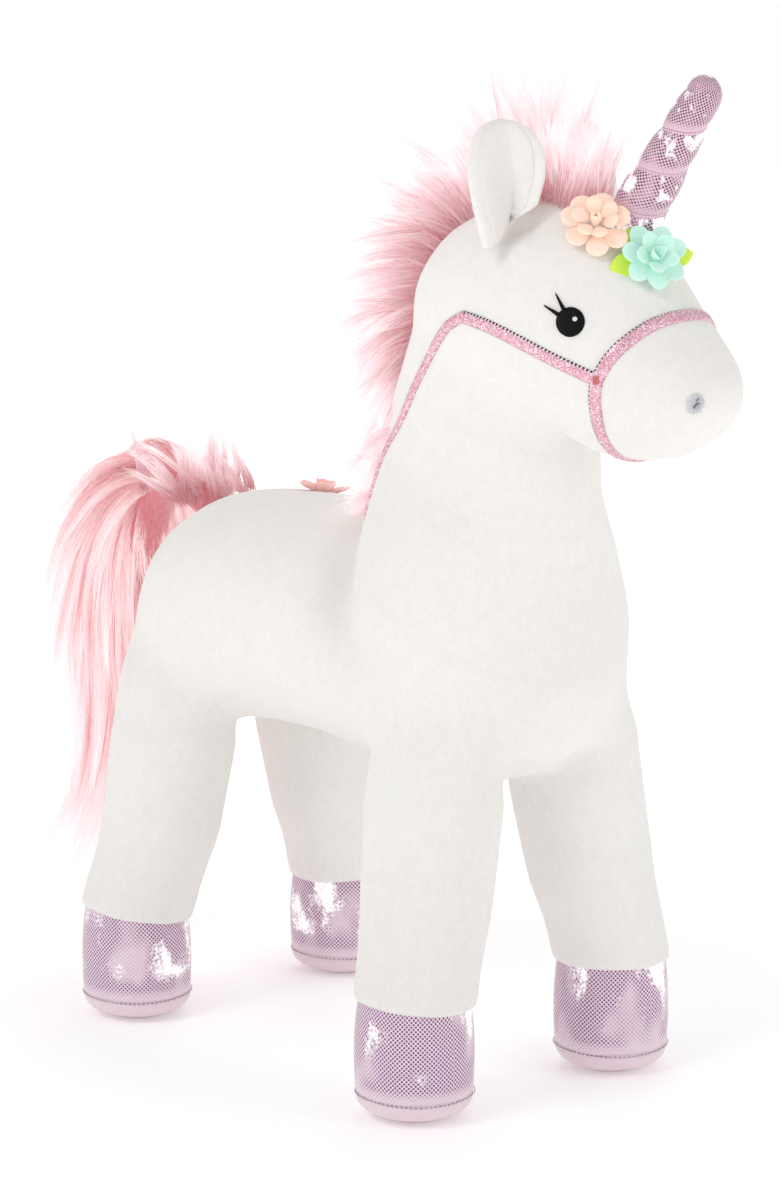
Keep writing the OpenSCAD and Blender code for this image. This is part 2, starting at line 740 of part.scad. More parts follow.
body_panel_right();
body_panel_left();
belly_gusset();
body_filling();
back_flower();
neck_panel_right();
neck_panel_left();
neck_filling();
crest_mane();
rein_right();
rein_left();
head_panel_right();
head_panel_left();
head_gusset();
head_filling();
eye_right();
eye_left();
lashes_right();
lashes_left();
nostril_right();
nostril_left();
horn_cover();
horn_filling();
horn_thread();
peach_outer();
peach_inner();
mint_outer();
mint_inner();
flower_leaves();
poll_mane();
forelock();
noseband();
cheek_strap_right();
cheek_strap_left();
ear_right_outer();
ear_right_lining();
ear_left_outer();
ear_left_lining();
tail_root();
tail_fur();
leg_skin_front_right();
leg_skin_front_left();
leg_skin_hind_right();
leg_skin_hind_left();
leg_filling_front_right();
leg_filling_front_left();
leg_filling_hind_right();
leg_filling_hind_left();
hoof_cover_front_right();
hoof_cover_front_left();
hoof_cover_hind_right();
hoof_cover_hind_left();
hoof_sole_front_right();
hoof_sole_front_left();
hoof_sole_hind_right();
hoof_sole_hind_left();
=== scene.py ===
"""The looks of a standing plush unicorn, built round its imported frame. Lengths are in metres."""
import json
import math

import bmesh
import bpy
import numpy as np
from mathutils import Matrix, Vector
from mathutils.bvhtree import BVHTree


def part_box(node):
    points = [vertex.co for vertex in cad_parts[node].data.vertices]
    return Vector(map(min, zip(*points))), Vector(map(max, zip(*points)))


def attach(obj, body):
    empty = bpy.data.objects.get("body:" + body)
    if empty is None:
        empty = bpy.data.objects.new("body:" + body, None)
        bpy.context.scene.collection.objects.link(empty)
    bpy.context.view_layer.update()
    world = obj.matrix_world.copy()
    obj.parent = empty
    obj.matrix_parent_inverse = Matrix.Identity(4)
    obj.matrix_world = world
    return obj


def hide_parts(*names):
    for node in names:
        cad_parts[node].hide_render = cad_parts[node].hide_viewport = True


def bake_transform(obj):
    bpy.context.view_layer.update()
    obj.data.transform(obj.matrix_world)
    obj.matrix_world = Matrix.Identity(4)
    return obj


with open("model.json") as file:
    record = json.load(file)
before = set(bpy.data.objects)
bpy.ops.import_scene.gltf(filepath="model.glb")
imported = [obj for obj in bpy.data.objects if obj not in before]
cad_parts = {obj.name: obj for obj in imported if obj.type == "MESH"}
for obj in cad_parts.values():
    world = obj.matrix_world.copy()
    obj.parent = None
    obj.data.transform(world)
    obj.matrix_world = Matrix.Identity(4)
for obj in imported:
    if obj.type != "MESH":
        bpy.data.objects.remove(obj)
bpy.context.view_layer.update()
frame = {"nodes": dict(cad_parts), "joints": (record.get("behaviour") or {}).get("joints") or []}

MM = 0.001
LEGS = ["front_right", "front_left", "hind_right", "hind_left"]
SIDES = {"right": -1, "left": 1}

# Planes between the pieces of skin: how far past a pivot, along a direction, the fabric turns
NECK_UP = Vector((0.458, 0, 0.889)).normalized()
NECK_TURNS = (-22 * MM, 9 * MM)
HEAD_UP = Vector((0.35, 0, 0.937)).normalized()
HEAD_TURNS = (-25 * MM, -1 * MM)
HIP_DROP = 1 * MM
HIP_DEPTH = 26 * MM
HEAD_YAW = math.radians(12)
CUFF_RISE = 34 * MM
CUFF_TURN = math.radians(50)
CUFF_LIP = 1.0 * MM
CUFF_LIFT = 2.5 * MM
CUFF_TILT = {"front_right": 4, "front_left": 0, "hind_right": 8, "hind_left": -3}

# An ear, in the head's own frame: millimetres for its place, metres for its shape
EAR_BASE = (16, 23, 308.5)
EAR_TALL = 25.5 * MM
EAR_DROP = 14 * MM
EAR_HALF = 17 * MM
EAR_THICK = 8.0 * MM
EAR_FOLD = 0.2
EAR_FOLD_FOOT = math.radians(64)
EAR_FOLD_TIP = math.radians(20)
EAR_WAIST = 0.32
EAR_LEAN = 2 * MM

BROW_RISE = 3.2 * MM

# A hoof: its seam above the floor, how far its cover runs up inside the leg, and its sole's flat share
HOOF_SEAM = 1.5 * MM
HOOF_HIDDEN = 9 * MM
SOLE_FLAT = 0.35

# How far hair reaches up and back, and how many hairs one piece holds
HAIR_TOP = 366 * MM
HAIR_BACK = 182 * MM
HAIRS_A_PIECE = 3900

# The tail in its own plane, in millimetres: its middle line, and its half depth and width along it
TAIL_LINE = [(-94, 0, 184), (-106, 0, 194), (-122, 0, 199), (-138, 0, 193), (-149, 0, 174),
             (-151, 0, 146), (-150, 0, 116), (-151, 0, 92), (-161, 0, 58), (-166, 0, 15)]
TAIL_AT = [0, 0.1, 0.2, 0.35, 0.5, 0.68, 0.8, 0.9, 1]
TAIL_DEEP = [6, 13, 20, 24, 24, 20, 16, 21, 18]
TAIL_WIDE = [7, 17, 34, 47, 47, 34, 27, 41, 36]
TAIL_CORE = [(-93, 0, 186), (-106, 0, 193), (-122, 0, 195), (-134, 0, 186), (-141, 0, 166),
             (-144, 0, 140), (-145, 0, 112), (-148, 0, 84)]

# Ribbon: its edges above the skin, how much more its middle stands up, and how far it sinks into the pile
RIBBON_LIFT = 0.35 * MM
RIBBON_CROWN = 0.55 * MM
RIBBON_SUNK = 0.3 * MM

# Rings of felt petals: see petal
PEACH_OUTER = dict(count=7, seed=1, spread=0.14, length=9.0, width=7.9, thick=2.0, bend=-0.1, cup=0.05,
                   widest=0.6, blunt=0.55, start=2.6, tilt=0.2)
PEACH_INNER = dict(count=6, seed=2, spread=0.18, length=7.0, width=5.6, thick=1.9, bend=0.3, cup=0.05,
                   widest=0.6, blunt=0.55, start=1.6, tilt=0.42, turn=0.5)
PEACH_BUD = dict(count=3, seed=3, length=5.2, width=3.6, thick=1.3, bend=1.0, cup=0.3,
                 widest=0.6, blunt=0.6, start=0.9, tilt=1.15)
MINT_OUTER = dict(count=7, seed=4, length=10.0, width=7.8, thick=1.6, bend=0.1, cup=0.14,
                  widest=0.6, blunt=0.62, start=1.2, tilt=0.2)
MINT_INNER = dict(count=5, seed=5, length=8.6, width=6.6, thick=1.4, bend=0.25, cup=0.2,
                  widest=0.6, blunt=0.65, start=0.6, tilt=0.6, turn=0.5)
MINT_BUD = dict(count=2, seed=6, length=6.5, width=5.0, thick=1.3, bend=0.5, cup=0.4,
                widest=0.5, blunt=0.9, start=0.4, tilt=1.0, turn=0.2)
BACK_OUTER = dict(count=6, seed=7, length=8.4, width=7.4, thick=1.5, bend=0.25, cup=0.1,
                  widest=0.62, blunt=0.6, start=1.6, tilt=0.2)
BACK_INNER = dict(count=5, seed=8, length=5.4, width=5.2, thick=1.4, bend=0.6, cup=0.15,
                  widest=0.6, blunt=0.6, start=0.8, tilt=0.75, turn=0.4)
LEAF = dict(width=8.6, thick=1.2, bend=0.0, cup=0.1, widest=0.55, blunt=0.95, start=1.5, tilt=0.06)
LEAVES = [(178, 13.0), (-8, 12.6), (110, 10.5)]

# The parts of the mane, in millimetres. Each is rooted along a line of points, first in the head's own frame
# and then in the toy's; way says how much its hair goes back and up at even steps along that line.
FORELOCK = [(35, 0, 304), (25, 0, 306.5), (12, 0, 305.5), (0, 0, 304)]
MANE = [
    dict(name="mane_poll", head=[(0, 0, 304), (-14, 0, 298), (-24, 0, 286), (-28, 0, 272), (-30, 0, 256)],
         toy=[], half=8, count=240, long=[36, 47, 48, 46, 40],
         way=[(0.6, 1), (1, 0.4), (1, 0.12), (1, -0.35), (1, -0.8)],
         droop=0.1, lift=0.45, each=36, seed=31, spread=(4.0, 1.8), short=0.35),
    dict(name="mane_nape", head=[(-29, 0, 272), (-30, 0, 262), (-32, 0, 248)],
         toy=[(33, -2, 236), (27, 0, 224)], half=6, count=230, long=[42, 38, 34, 33, 32],
         way=[(1, -0.5), (0.9, -0.8), (0.8, -0.9), (0.75, -0.9), (0.75, -0.9)],
         droop=0.05, lift=0.45, each=34, seed=32, spread=(3.6, 1.6), short=0.4),
    dict(name="mane_crest", head=[], toy=[(29, 0, 228), (24, 0, 216), (19, 0, 207), (11, 0, 201)],
         half=8, count=150, long=[32, 31, 27, 15], way=[(0.8, -0.8), (0.9, -0.7), (1, -0.5), (1, -0.2)],
         droop=0.0, lift=0.45, each=34, seed=33, spread=(3.2, 1.4), short=0.4),
    dict(name="forelock_fur", head=FORELOCK, toy=[], half=10, count=260, long=[24, 33, 38, 38],
         way=[(-0.1, 1), (0.2, 1), (0.5, 1), (0.8, 1)],
         droop=0.0, lift=0.3, each=34, seed=34, spread=(4.0, 2.2), short=0.35),
    dict(name="forelock_wisps", head=FORELOCK, toy=[], half=7, count=50, long=[40, 60, 60, 50],
         way=[(-0.1, 1), (0.1, 1), (0.35, 1), (0.7, 1)],
         droop=0.0, lift=0.25, each=20, seed=35, spread=(2.4, 1.6), short=0.45, thick=0.11),
]

# The camera: azimuth and elevation in degrees, and what it looks at, how far off and through what lens
CAMERA_ANGLES = (51.17, 9.12)
CAMERA_TARGET = (0.0142, 0, 0.1641)
CAMERA_FAR = 1.1413
CAMERA_LENS = 96.32

# The face, in the head's own frame: places, and profiles as radius and height above the skin, in millimetres
EYE = (50.3, 31.6, 270.1)
EYE_DOME = [(4.5, -0.8), (4.85, -0.1), (4.8, 0.35), (4.4, 0.75), (3.6, 1.1), (2.5, 1.35), (1.2, 1.5),
            (0.05, 1.55)]
GLINT_DOME = [(0.7, 0.9), (0.85, 1.3), (0.7, 1.52), (0.05, 1.62)]
LASH_TIPS = [(5.6, 9.2), (9.4, 5.2)]
NOSTRIL = {"right": (87, -13.8, 244.7), "left": (78, 23.5, 244.2)}
NOSTRIL_DISH = [(3.3, -0.6), (3.45, 0.1), (3.2, 0.5), (2.6, 0.62), (1.6, 0.45), (0.8, 0.25), (0.05, 0.2)]
NOSTRIL_MARKS = [((-1.1, -1.2), (0.9, 0.5)), ((-0.1, 0.9), (0.6, 2.1))]

# Where the ribbons lie on the right side, in millimetres: the first four in the head's own frame
STRAP_KNOT = (59.6, -29.6, 251.9)
NOSEBAND_OVER = [(62.6, -28.5, 257.5), (66.3, -25.6, 262.8), (71.3, -16.7, 268.9), (74.1, -2.8, 271.4)]
NOSEBAND_UNDER = [(58.6, -29.6, 247), (58, -27.7, 242.1), (56.7, -21.9, 232.5), (56, -12, 225.5),
                  (56, 0, 223.5)]
CHEEK_STRAP = [(47.3, -32.7, 256.9), (34.6, -34.6, 262.1), (21.5, -34.9, 267), (9.3, -34, 269.9)]
REIN_CORNER = [(9.6, -34, 270.4), (4.5, -33.4, 268.2), (0.1, -32.4, 265.5), (-6.7, -30.2, 258.4)]
REIN_NECK = [(67, -27.5, 246.6), (61, -26.5, 237), (54, -26, 228), (48, -25.5, 221.5)]
REIN_WITHERS = [(48.3, -25.5, 222), (42, -26, 213.5), (37, -26.5, 204), (32, -26, 197)]

# The horn, in the head's own frame
HORN_BASE = (50.6, 0, 298.5)
HORN_LEAN = 33
HORN_LENGTH = 58 * MM
HORN_FOOT = 10.1 * MM
HORN_MIDDLE = 7.4 * MM
HORN_TIP = 5.8 * MM
HORN_TURNS = 3.8
HORN_PATTERN = 7.162    # millimetres of its flat pattern for each radian round it


# ---------------------------------------------------------------- places

def joint_point(name):
    """Where a joint's axis passes, at rest."""
    return Vector(next(j["pos_m"] for j in frame["joints"] if j["name"] == name))


NECK_PIVOT = joint_point("neck_nod")
HEAD_PIVOT = joint_point("head_turn")
HEAD_FRAME = (Matrix.Translation((HEAD_PIVOT.x, HEAD_PIVOT.y, 0))
              @ Matrix.Rotation(HEAD_YAW, 4, "Z"))
BELLY_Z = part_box("belly_gusset")[0].z
CUFF_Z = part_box("leg_skin_front_right")[0].z


def in_head(x, y, z):
    """A point of the head's own frame, in millimetres, as a point of the toy."""
    return HEAD_FRAME @ Vector((x * MM, y * MM, z * MM))


def head_direction(x, y, z):
    return (HEAD_FRAME.to_3x3() @ Vector((x, y, z))).normalized()


def centre(node):
    low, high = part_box(node)
    return (low + high) / 2


def smoothstep(t):
    t = np.clip(t, 0, 1)
    return t * t * (3 - 2 * t)


# ---------------------------------------------------------------- meshes

def add_object(name, mesh):
    obj = bpy.data.objects.new(name, mesh)
    bpy.context.scene.collection.objects.link(obj)
    return obj


def fast_mesh(name, points, faces):
    """A mesh from an array of points and a list of arrays of faces, each with faces of one size."""
    mesh = bpy.data.meshes.new(name)
    mesh.vertices.add(len(points))
    mesh.vertices.foreach_set("co", np.asarray(points, np.float32).ravel())
    loops = np.concatenate([np.asarray(f, np.int32).ravel() for f in faces])
    sizes = np.concatenate([np.full(len(f), np.asarray(f).shape[1], np.int32) for f in faces])
    mesh.loops.add(len(loops))
    mesh.loops.foreach_set("vertex_index", loops)
    mesh.polygons.add(len(sizes))
    mesh.polygons.foreach_set("loop_start", np.concatenate([[0], np.cumsum(sizes)[:-1]]).astype(np.int32))
    mesh.update(calc_edges=True)
    mesh.validate()
    mesh.shade_smooth()
    return mesh


def coords(mesh):
    co = np.empty(len(mesh.vertices) * 3, np.float32)
    mesh.vertices.foreach_get("co", co)
    return co.reshape(-1, 3).astype(float)


def set_coords(mesh, points):
    mesh.vertices.foreach_set("co", np.asarray(points, np.float32).ravel())
    mesh.update()


def vertex_normals(mesh):
    n = np.empty(len(mesh.vertices) * 3, np.float32)
    mesh.vertices.foreach_get("normal", n)
    return n.reshape(-1, 3).astype(float)


def apply_modifiers(obj):
    """Bakes an object's modifiers into its mesh."""
    graph = bpy.context.evaluated_depsgraph_get()
    mesh = bpy.data.meshes.new_from_object(obj.evaluated_get(graph))
    obj.modifiers.clear()
    old = obj.data
    obj.data = mesh
    bpy.data.meshes.remove(old)
    return obj


def subdivide(obj, levels):
    modifier = obj.modifiers.new("round", "SUBSURF")
    modifier.levels = levels
    modifier.render_levels = levels
    return apply_modifiers(obj)


def voxel(obj, size):
    modifier = obj.modifiers.new("voxel", "REMESH")
    modifier.mode = "VOXEL"
    modifier.voxel_size = size
    return apply_modifiers(obj)


def neighbour_mean(mesh):
    """A function that takes values at a mesh's points and gives the mean of each point's neighbours."""
    edges = np.empty(len(mesh.edges) * 2, np.int32)
    mesh.edges.foreach_get("vertices", edges)
    a, b = edges.reshape(-1, 2).T
    count = np.bincount(np.concatenate([a, b]), minlength=len(mesh.vertices))

    def mean(values):
        total = [np.bincount(a, v[b], len(count)) + np.bincount(b, v[a], len(count)) for v in values.T]
        return np.stack(total, axis=1) / np.maximum(count, 1)[:, None]

    return mean


def relax(mesh, times, keep=0.53, weight=1.0):
    """Evens out a surface without shrinking it: a smoothing step, then a slightly larger step back."""
    mean = neighbour_mean(mesh)
    points = coords(mesh)
    for _ in range(times):
        for step in (0.5, -keep):
            points += step * weight * (mean(points) - points)
    set_coords(mesh, points)


def regrow(mesh, shape, swell):
    """Pushes a smoothed surface back out to a shape, evenly, so that it keeps its size, and swell further."""
    points, normals = coords(mesh), vertex_normals(mesh)
    gap = np.empty(len(points))
    for i, (p, n) in enumerate(zip(points, normals)):
        place, _, _, _ = shape.find_nearest(Vector(p))
        gap[i] = (place - Vector(p)).dot(Vector(n))
    gap = np.clip(gap, -2.5 * MM, 4 * MM)[:, None]
    mean = neighbour_mean(mesh)
    for _ in range(30):
        gap = mean(gap)
    set_coords(mesh, points + normals * (gap + swell))


def tube_faces(rings, sides, offset=0, closed=True):
    """Quads of a tube of rings x sides points."""
    ring, side = np.meshgrid(np.arange(rings - 1), np.arange(sides if closed else sides - 1), indexing="ij")
    after = (side + 1) % sides
    quads = np.stack([ring * sides + side, ring * sides + after,
                      (ring + 1) * sides + after, (ring + 1) * sides + side], axis=-1)
    return quads.reshape(-1, 4) + offset


def grid_faces(rows, columns):
    return tube_faces(rows, columns, closed=False)


def set_uv(mesh, per_vertex):
    """A UV map from one pair of numbers for each vertex."""
    layer = mesh.uv_layers.new(name="pattern")
    index = np.empty(len(mesh.loops), np.int32)
    mesh.loops.foreach_get("vertex_index", index)
    layer.data.foreach_set("uv", np.asarray(per_vertex, np.float32)[index].ravel())


def set_value(mesh, name, values):
    attribute = mesh.attributes.new(name, "FLOAT", "POINT")
    attribute.data.foreach_set("value", np.asarray(values, np.float32))


def surface_of(mesh):
    """A search tree over a mesh, for finding places on it."""
    return BVHTree.FromPolygons([v.co for v in mesh.vertices], [tuple(p.vertices) for p in mesh.polygons])


def curve_through(points, count):
    """A smooth line through given points, with its points evenly spaced."""
    p = np.asarray(points, float)
    p = np.vstack([2 * p[0] - p[1], p, 2 * p[-1] - p[-2]])
    t = np.linspace(0, 1, 24, endpoint=False)[:, None]
    runs = []
    for i in range(1, len(p) - 2):
        a, b, c, d = p[i - 1:i + 3]
        runs.append(0.5 * (2 * b + (c - a) * t + (2 * a - 5 * b + 4 * c - d) * t ** 2
                           + (3 * b - a - 3 * c + d) * t ** 3))
    line = np.vstack(runs + [p[-2:-1]])
    along = np.concatenate([[0], np.cumsum(np.linalg.norm(np.diff(line, axis=0), axis=1))])
    at = np.linspace(0, along[-1], count)
    return np.stack([np.interp(at, along, line[:, k]) for k in range(3)], axis=1)


# ---------------------------------------------------------------- materials

class Look:
    """A material under construction."""

    def __init__(self, name, color, roughness, **constants):
        self.material = bpy.data.materials.new(name)
        self.material.use_nodes = True
        self.tree = self.material.node_tree
        self.base = self.tree.nodes["Principled BSDF"]
        self.base.inputs["Base Color"].default_value = (*color, 1)
        self.base.inputs["Roughness"].default_value = roughness
        for key, value in constants.items():
            self.base.inputs[key.replace("_", " ")].default_value = value

    def add(self, kind, inputs=None, **settings):
        node = self.tree.nodes.new("ShaderNode" + kind)
        for key, value in settings.items():
            setattr(node, key, value)
        for key, value in (inputs or {}).items():
            self.put(value, node.inputs[key])
        return node

    def put(self, value, socket):
        """Links a node's output to a socket, or sets the socket's own value."""
        if isinstance(value, bpy.types.NodeSocket):
            self.tree.links.new(value, socket)
        elif isinstance(value, bpy.types.Node):
            self.tree.links.new(value.outputs[0], socket)
        else:
            socket.default_value = value

    def math(self, operation, a, b=0.0, c=0.0):
        return self.add("Math", {0: a, 1: b, 2: c}, operation=operation)

    def mix(self, share, a, b):
        node = self.add("Mix", data_type="RGBA")
        self.put(share, node.inputs["Factor"])
        self.put(a, node.inputs[6])
        self.put(b, node.inputs[7])
        return node.outputs[2]

    def range(self, value, low, high, to_low=0.0, to_high=1.0):
        inputs = {"Value": value, "From Min": low, "From Max": high, "To Min": to_low, "To Max": to_high}
        return self.add("MapRange", inputs)

    def place(self, scale=(1, 1, 1), turn=(0, 0, 0)):
        """The piece's own coordinates, stretched and turned."""
        where = self.add("TexCoord").outputs["Object"]
        return self.add("Mapping", {"Vector": where, "Scale": scale, "Rotation": turn})

    def noise(self, scale, detail=2.0, vector=None, rough=0.5):
        where = vector or self.add("TexCoord").outputs["Object"]
        inputs = {"Vector": where, "Scale": scale, "Detail": detail, "Roughness": rough}
        return self.add("TexNoise", inputs).outputs["Fac"]

    def bump(self, height, strength, distance, after=None):
        inputs = {"Height": height, "Strength": strength, "Distance": distance}
        node = self.add("Bump", inputs)
        if after:
            self.put(after, node.inputs["Normal"])
        self.put(node, self.base.inputs["Normal"])
        return node

    def uv(self):
        return self.add("SeparateXYZ", {0: self.add("TexCoord").outputs["UV"]})

    def color(self, value):
        self.put(value, self.base.inputs["Base Color"])

    def rough(self, value):
        self.put(value, self.base.inputs["Roughness"])


def rgb(text):
    """A linear colour from a six-figure sRGB one."""
    parts = [int(text[i:i + 2], 16) / 255 for i in (0, 2, 4)]
    return tuple(c / 12.92 if c <= 0.04045 else ((c + 0.055) / 1.055) ** 2.4 for c in parts)


def rgba(text):
    return (*rgb(text), 1)


def pile_look(name, light, dark, pile=1.0):
    """Short brushed pile: tiny tufts that lie one way, with a soft sheen."""
    look = Look(name, rgb(light), 0.92, Sheen_Weight=0.35, Sheen_Roughness=0.55, Subsurface_Weight=0.12,
                Subsurface_Scale=0.004, Specular_IOR_Level=0.12)
    look.base.inputs["Sheen Tint"].default_value = rgba("FFFDF8")
    look.base.inputs["Subsurface Radius"].default_value = (1.0, 0.85, 0.75)
    tufts = look.noise(1500 / pile, 3, look.place((1, 1, 0.45)))
    brushed = look.noise(320, 3, look.place((1, 1, 0.6), (0.3, 0.2, 0)))
    broad = look.noise(16, 1)
    shade = look.math("ADD", look.range(brushed, 0.35, 0.65, 0, 0.25), look.range(broad, 0.35, 0.65, 0, 0.3))
    fine = look.math("ADD", shade, look.range(tufts, 0.3, 0.7, 0, 0.4))
    look.color(look.mix(fine, rgba(light), rgba(dark)))
    first = look.bump(brushed, 0.12, 0.0006)
    look.bump(tufts, 0.4, 0.0005, first)
    look.rough(look.range(tufts, 0.3, 0.7, 0.85, 1.0))
    return look.material


def fur_look(name, root, middle, tip, glow):
    """Long hair, coloured from root to tip, each hair a little lighter or darker, and glowing in its own
    colour as painted light.
    """
    look = Look(name, rgb(middle), 0.5, Specular_IOR_Level=0.3, Sheen_Weight=0.3, Sheen_Roughness=0.5)
    along = look.add("Attribute", attribute_name="along").outputs["Fac"]
    tone = look.add("Attribute", attribute_name="tone").outputs["Fac"]
    ramp = look.add("ValToRGB", {0: along})
    ramp.color_ramp.elements[0].color = rgba(root)
    ramp.color_ramp.elements[0].position = 0.02
    ramp.color_ramp.elements[1].color = rgba(tip)
    ramp.color_ramp.elements[1].position = 0.8
    ramp.color_ramp.elements.new(0.3).color = rgba(middle)
    shade = look.add("HueSaturation", {"Color": ramp.outputs[0]})
    look.put(look.range(tone, 0, 1, 0.6, 1.25), shade.inputs["Saturation"])
    look.put(look.range(tone, 0, 1, 1.07, 0.93), shade.inputs["Value"])
    look.color(shade.outputs[0])
    look.rough(look.range(tone, 0, 1, 0.38, 0.62))
    # Painted light: each hair glows in its own colour, more towards its tip, in place of light bounced
    # between hairs
    look.put(shade.outputs[0], look.base.inputs["Emission Color"])
    look.put(look.range(along, 0, 1, glow, glow + 0.22), look.base.inputs["Emission Strength"])
    through = look.add("BsdfTranslucent", {"Color": shade.outputs[0]})
    blend = look.add("MixShader", {0: 0.45, 1: look.base.outputs[0], 2: through.outputs[0]})
    look.put(blend.outputs[0], look.tree.nodes["Material Output"].inputs["Surface"])
    return look.material


def foil_look(name, cloth, dot, gleam_size, pitch=0.9, show=1.0, least=0.2, glare=0.49):
    """Knitted fabric under a slanted grid of foil dots, with painted reflections: dots painted dark, and
    glowing white painted highlights.

    show is how strong the painted dark and highlights are, and least how dark the dots stay in their palest
    places.
    The lower glare is, the more of the foil gets painted highlights.
    """
    look = Look(name, rgb(cloth), 0.45, Sheen_Weight=0.2, Sheen_Roughness=0.4, Specular_IOR_Level=0.5)
    grid = slanted_grid(look, pitch)
    dots = look.range(grid, -0.1, 0.7)
    painted_reflection_zone = look.add("Attribute", attribute_name="painted_reflection_zone").outputs["Fac"]
    # Painted reflection: noisy patches where the foil dots are painted dark, paler (least) between them
    painted_dark_place = look.noise(gleam_size, 1.5, look.place((1, 1, 0.6), (0.2, 0.1, 0.4)))
    dark = look.math("MULTIPLY", look.range(painted_dark_place, 0.34, 0.46, least, 1.0), look.range(painted_reflection_zone, 0, 0.35))
    dots_and_painted_shade = look.math("MULTIPLY", dots, look.math("MULTIPLY", dark, show))
    # Painted highlight: noisy patches of the foil painted white, where the painted reflection zone is high
    painted_gleam_place = look.noise(gleam_size * 1.1, 2, look.place((1, 1, 0.5), (0.7, 1.9, 0)))
    gleam = look.math("MULTIPLY", look.range(painted_gleam_place, glare, glare + 0.16), look.range(painted_reflection_zone, 0.45, 1.0))
    gleam = look.math("MULTIPLY", gleam, show)
    # Painted sparkle: fine specks of painted highlight
    painted_sparkle = look.math("MULTIPLY", look.range(look.noise(900, 1), 0.35, 0.65), 0.45)
    gathered = look.math("ADD", look.math("MULTIPLY", dots, 0.3), look.math("ADD", painted_sparkle, gleam))
    # Painted highlight: where dots, sparkle and gleam add up, the colour is painted white
    painted_flash = look.range(gathered, 0.95, 1.3)
    look.color(look.mix(painted_flash, look.mix(dots_and_painted_shade, rgba(cloth), rgba(dot)), (1.0, 1.0, 1.0, 1)))
    look.put(look.math("MULTIPLY", dots_and_painted_shade, 0.6), look.base.inputs["Metallic"])
    look.rough(look.range(dots, 0, 1, 0.5, 0.2))
    # The painted highlights also glow white, though the foil is no lamp
    look.base.inputs["Emission Color"].default_value = (1, 1, 1, 1)
    look.put(look.math("MULTIPLY", painted_flash, 0.35), look.base.inputs["Emission Strength"])
    soft = look.bump(look.noise(200, 3), 0.3, 0.0014)
    knit = look.math("ADD", look.math("MULTIPLY", grid, 0.25), look.noise(2600, 2))
    look.bump(knit, 0.25, 0.00025, soft)
    return look.material


def slanted_grid(look, pitch):
    """A value that peaks on a diamond grid of the piece's flat pattern, pitch millimetres apart."""
    uv = look.uv()
    turns = 2 * math.pi / (pitch * math.sqrt(2))
    one = look.math("MULTIPLY", look.math("ADD", uv.outputs[0], uv.outputs[1]), turns)
    two = look.math("MULTIPLY", look.math("SUBTRACT", uv.outputs[0], uv.outputs[1]), turns)
    return look.math("ADD", look.math("COSINE", one), look.math("COSINE", two))


def ribbon_look():
    """Woven ribbon full of glitter, with a dark metal thread along one edge."""
    look = Look("glitter_ribbon", rgb("DE9DB2"), 0.4, Specular_IOR_Level=0.6)
    flakes = look.add("TexVoronoi", {"Vector": look.add("TexCoord").outputs["UV"], "Scale": 3.2})
    parts = look.add("SeparateColor", {0: flakes.outputs["Color"]})
    ramp = look.add("ValToRGB", {0: parts.outputs[0]})
    ramp.color_ramp.interpolation = "CONSTANT"
    ramp.color_ramp.elements[0].color = rgba("D28CA3")
    ramp.color_ramp.elements[1].color = rgba("FFF4F6")
    ramp.color_ramp.elements[1].position = 0.86
    for position, color in ((0.2, "E3A5B9"), (0.45, "EEC0CE"), (0.62, "D592A9"), (0.76, "F7DEE6")):
        ramp.color_ramp.elements.new(position).color = rgba(color)
    uv = look.uv()
    side = uv.outputs[1]
    stitch = look.range(look.math("SINE", look.math("MULTIPLY", uv.outputs[0], 4.4)), -0.1, 0.2)
    metal = look.mix(stitch, rgba("3E2E38"), rgba("E8DDE2"))
    border = look.range(look.math("ABSOLUTE", side), 1.55, 2.0, 0, 0.25)
    body = look.mix(border, ramp.outputs[0], rgba("C07E94"))
    look.color(look.mix(look.range(side, 1.55, 1.65), body, metal))
    look.put(look.range(parts.outputs[1], 0.35, 0.75, 0.15, 0.8), look.base.inputs["Metallic"])
    look.rough(look.range(parts.outputs[2], 0, 1, 0.18, 0.5))
    first = look.bump(parts.outputs[1], 0.35, 0.0002)
    ribs = look.math("SINE", look.math("MULTIPLY", side, 9.0))
    look.bump(ribs, 0.2, 0.0001, first)
    return look.material


def felt_look(name, light, dark):
    """Pressed wool felt: matted fibres, no shine, and a faint glow of its own colour as painted light."""
    look = Look(name, rgb(light), 0.95, Sheen_Weight=0.5, Sheen_Roughness=0.6, Subsurface_Weight=0.2,
                Subsurface_Scale=0.002, Specular_IOR_Level=0.1)
    look.base.inputs["Sheen Tint"].default_value = rgba(light)
    # Painted light: the felt glows faintly in its own colour, to lighten its shaded parts
    look.base.inputs["Emission Color"].default_value = rgba(light)
    look.base.inputs["Emission Strength"].default_value = 0.1
    fibres = look.noise(2600, 4, look.place((1, 0.35, 1), (0.5, 0.3, 0.9)), 0.7)
    crossed = look.noise(2200, 4, look.place((0.35, 1, 1), (0.2, 0.8, 0.4)), 0.7)
    mat = look.math("ADD", fibres, crossed)
    cloud = look.noise(220, 2)
    share = look.math("ADD", look.range(mat, 0.7, 1.3, 0, 0.6), look.range(cloud, 0.35, 0.65, 0, 0.4))
    look.color(look.mix(share, rgba(light), rgba(dark)))
    look.bump(mat, 0.5, 0.0004)
    look.rough(look.range(mat, 0.7, 1.3, 0.9, 1.0))
    return look.material


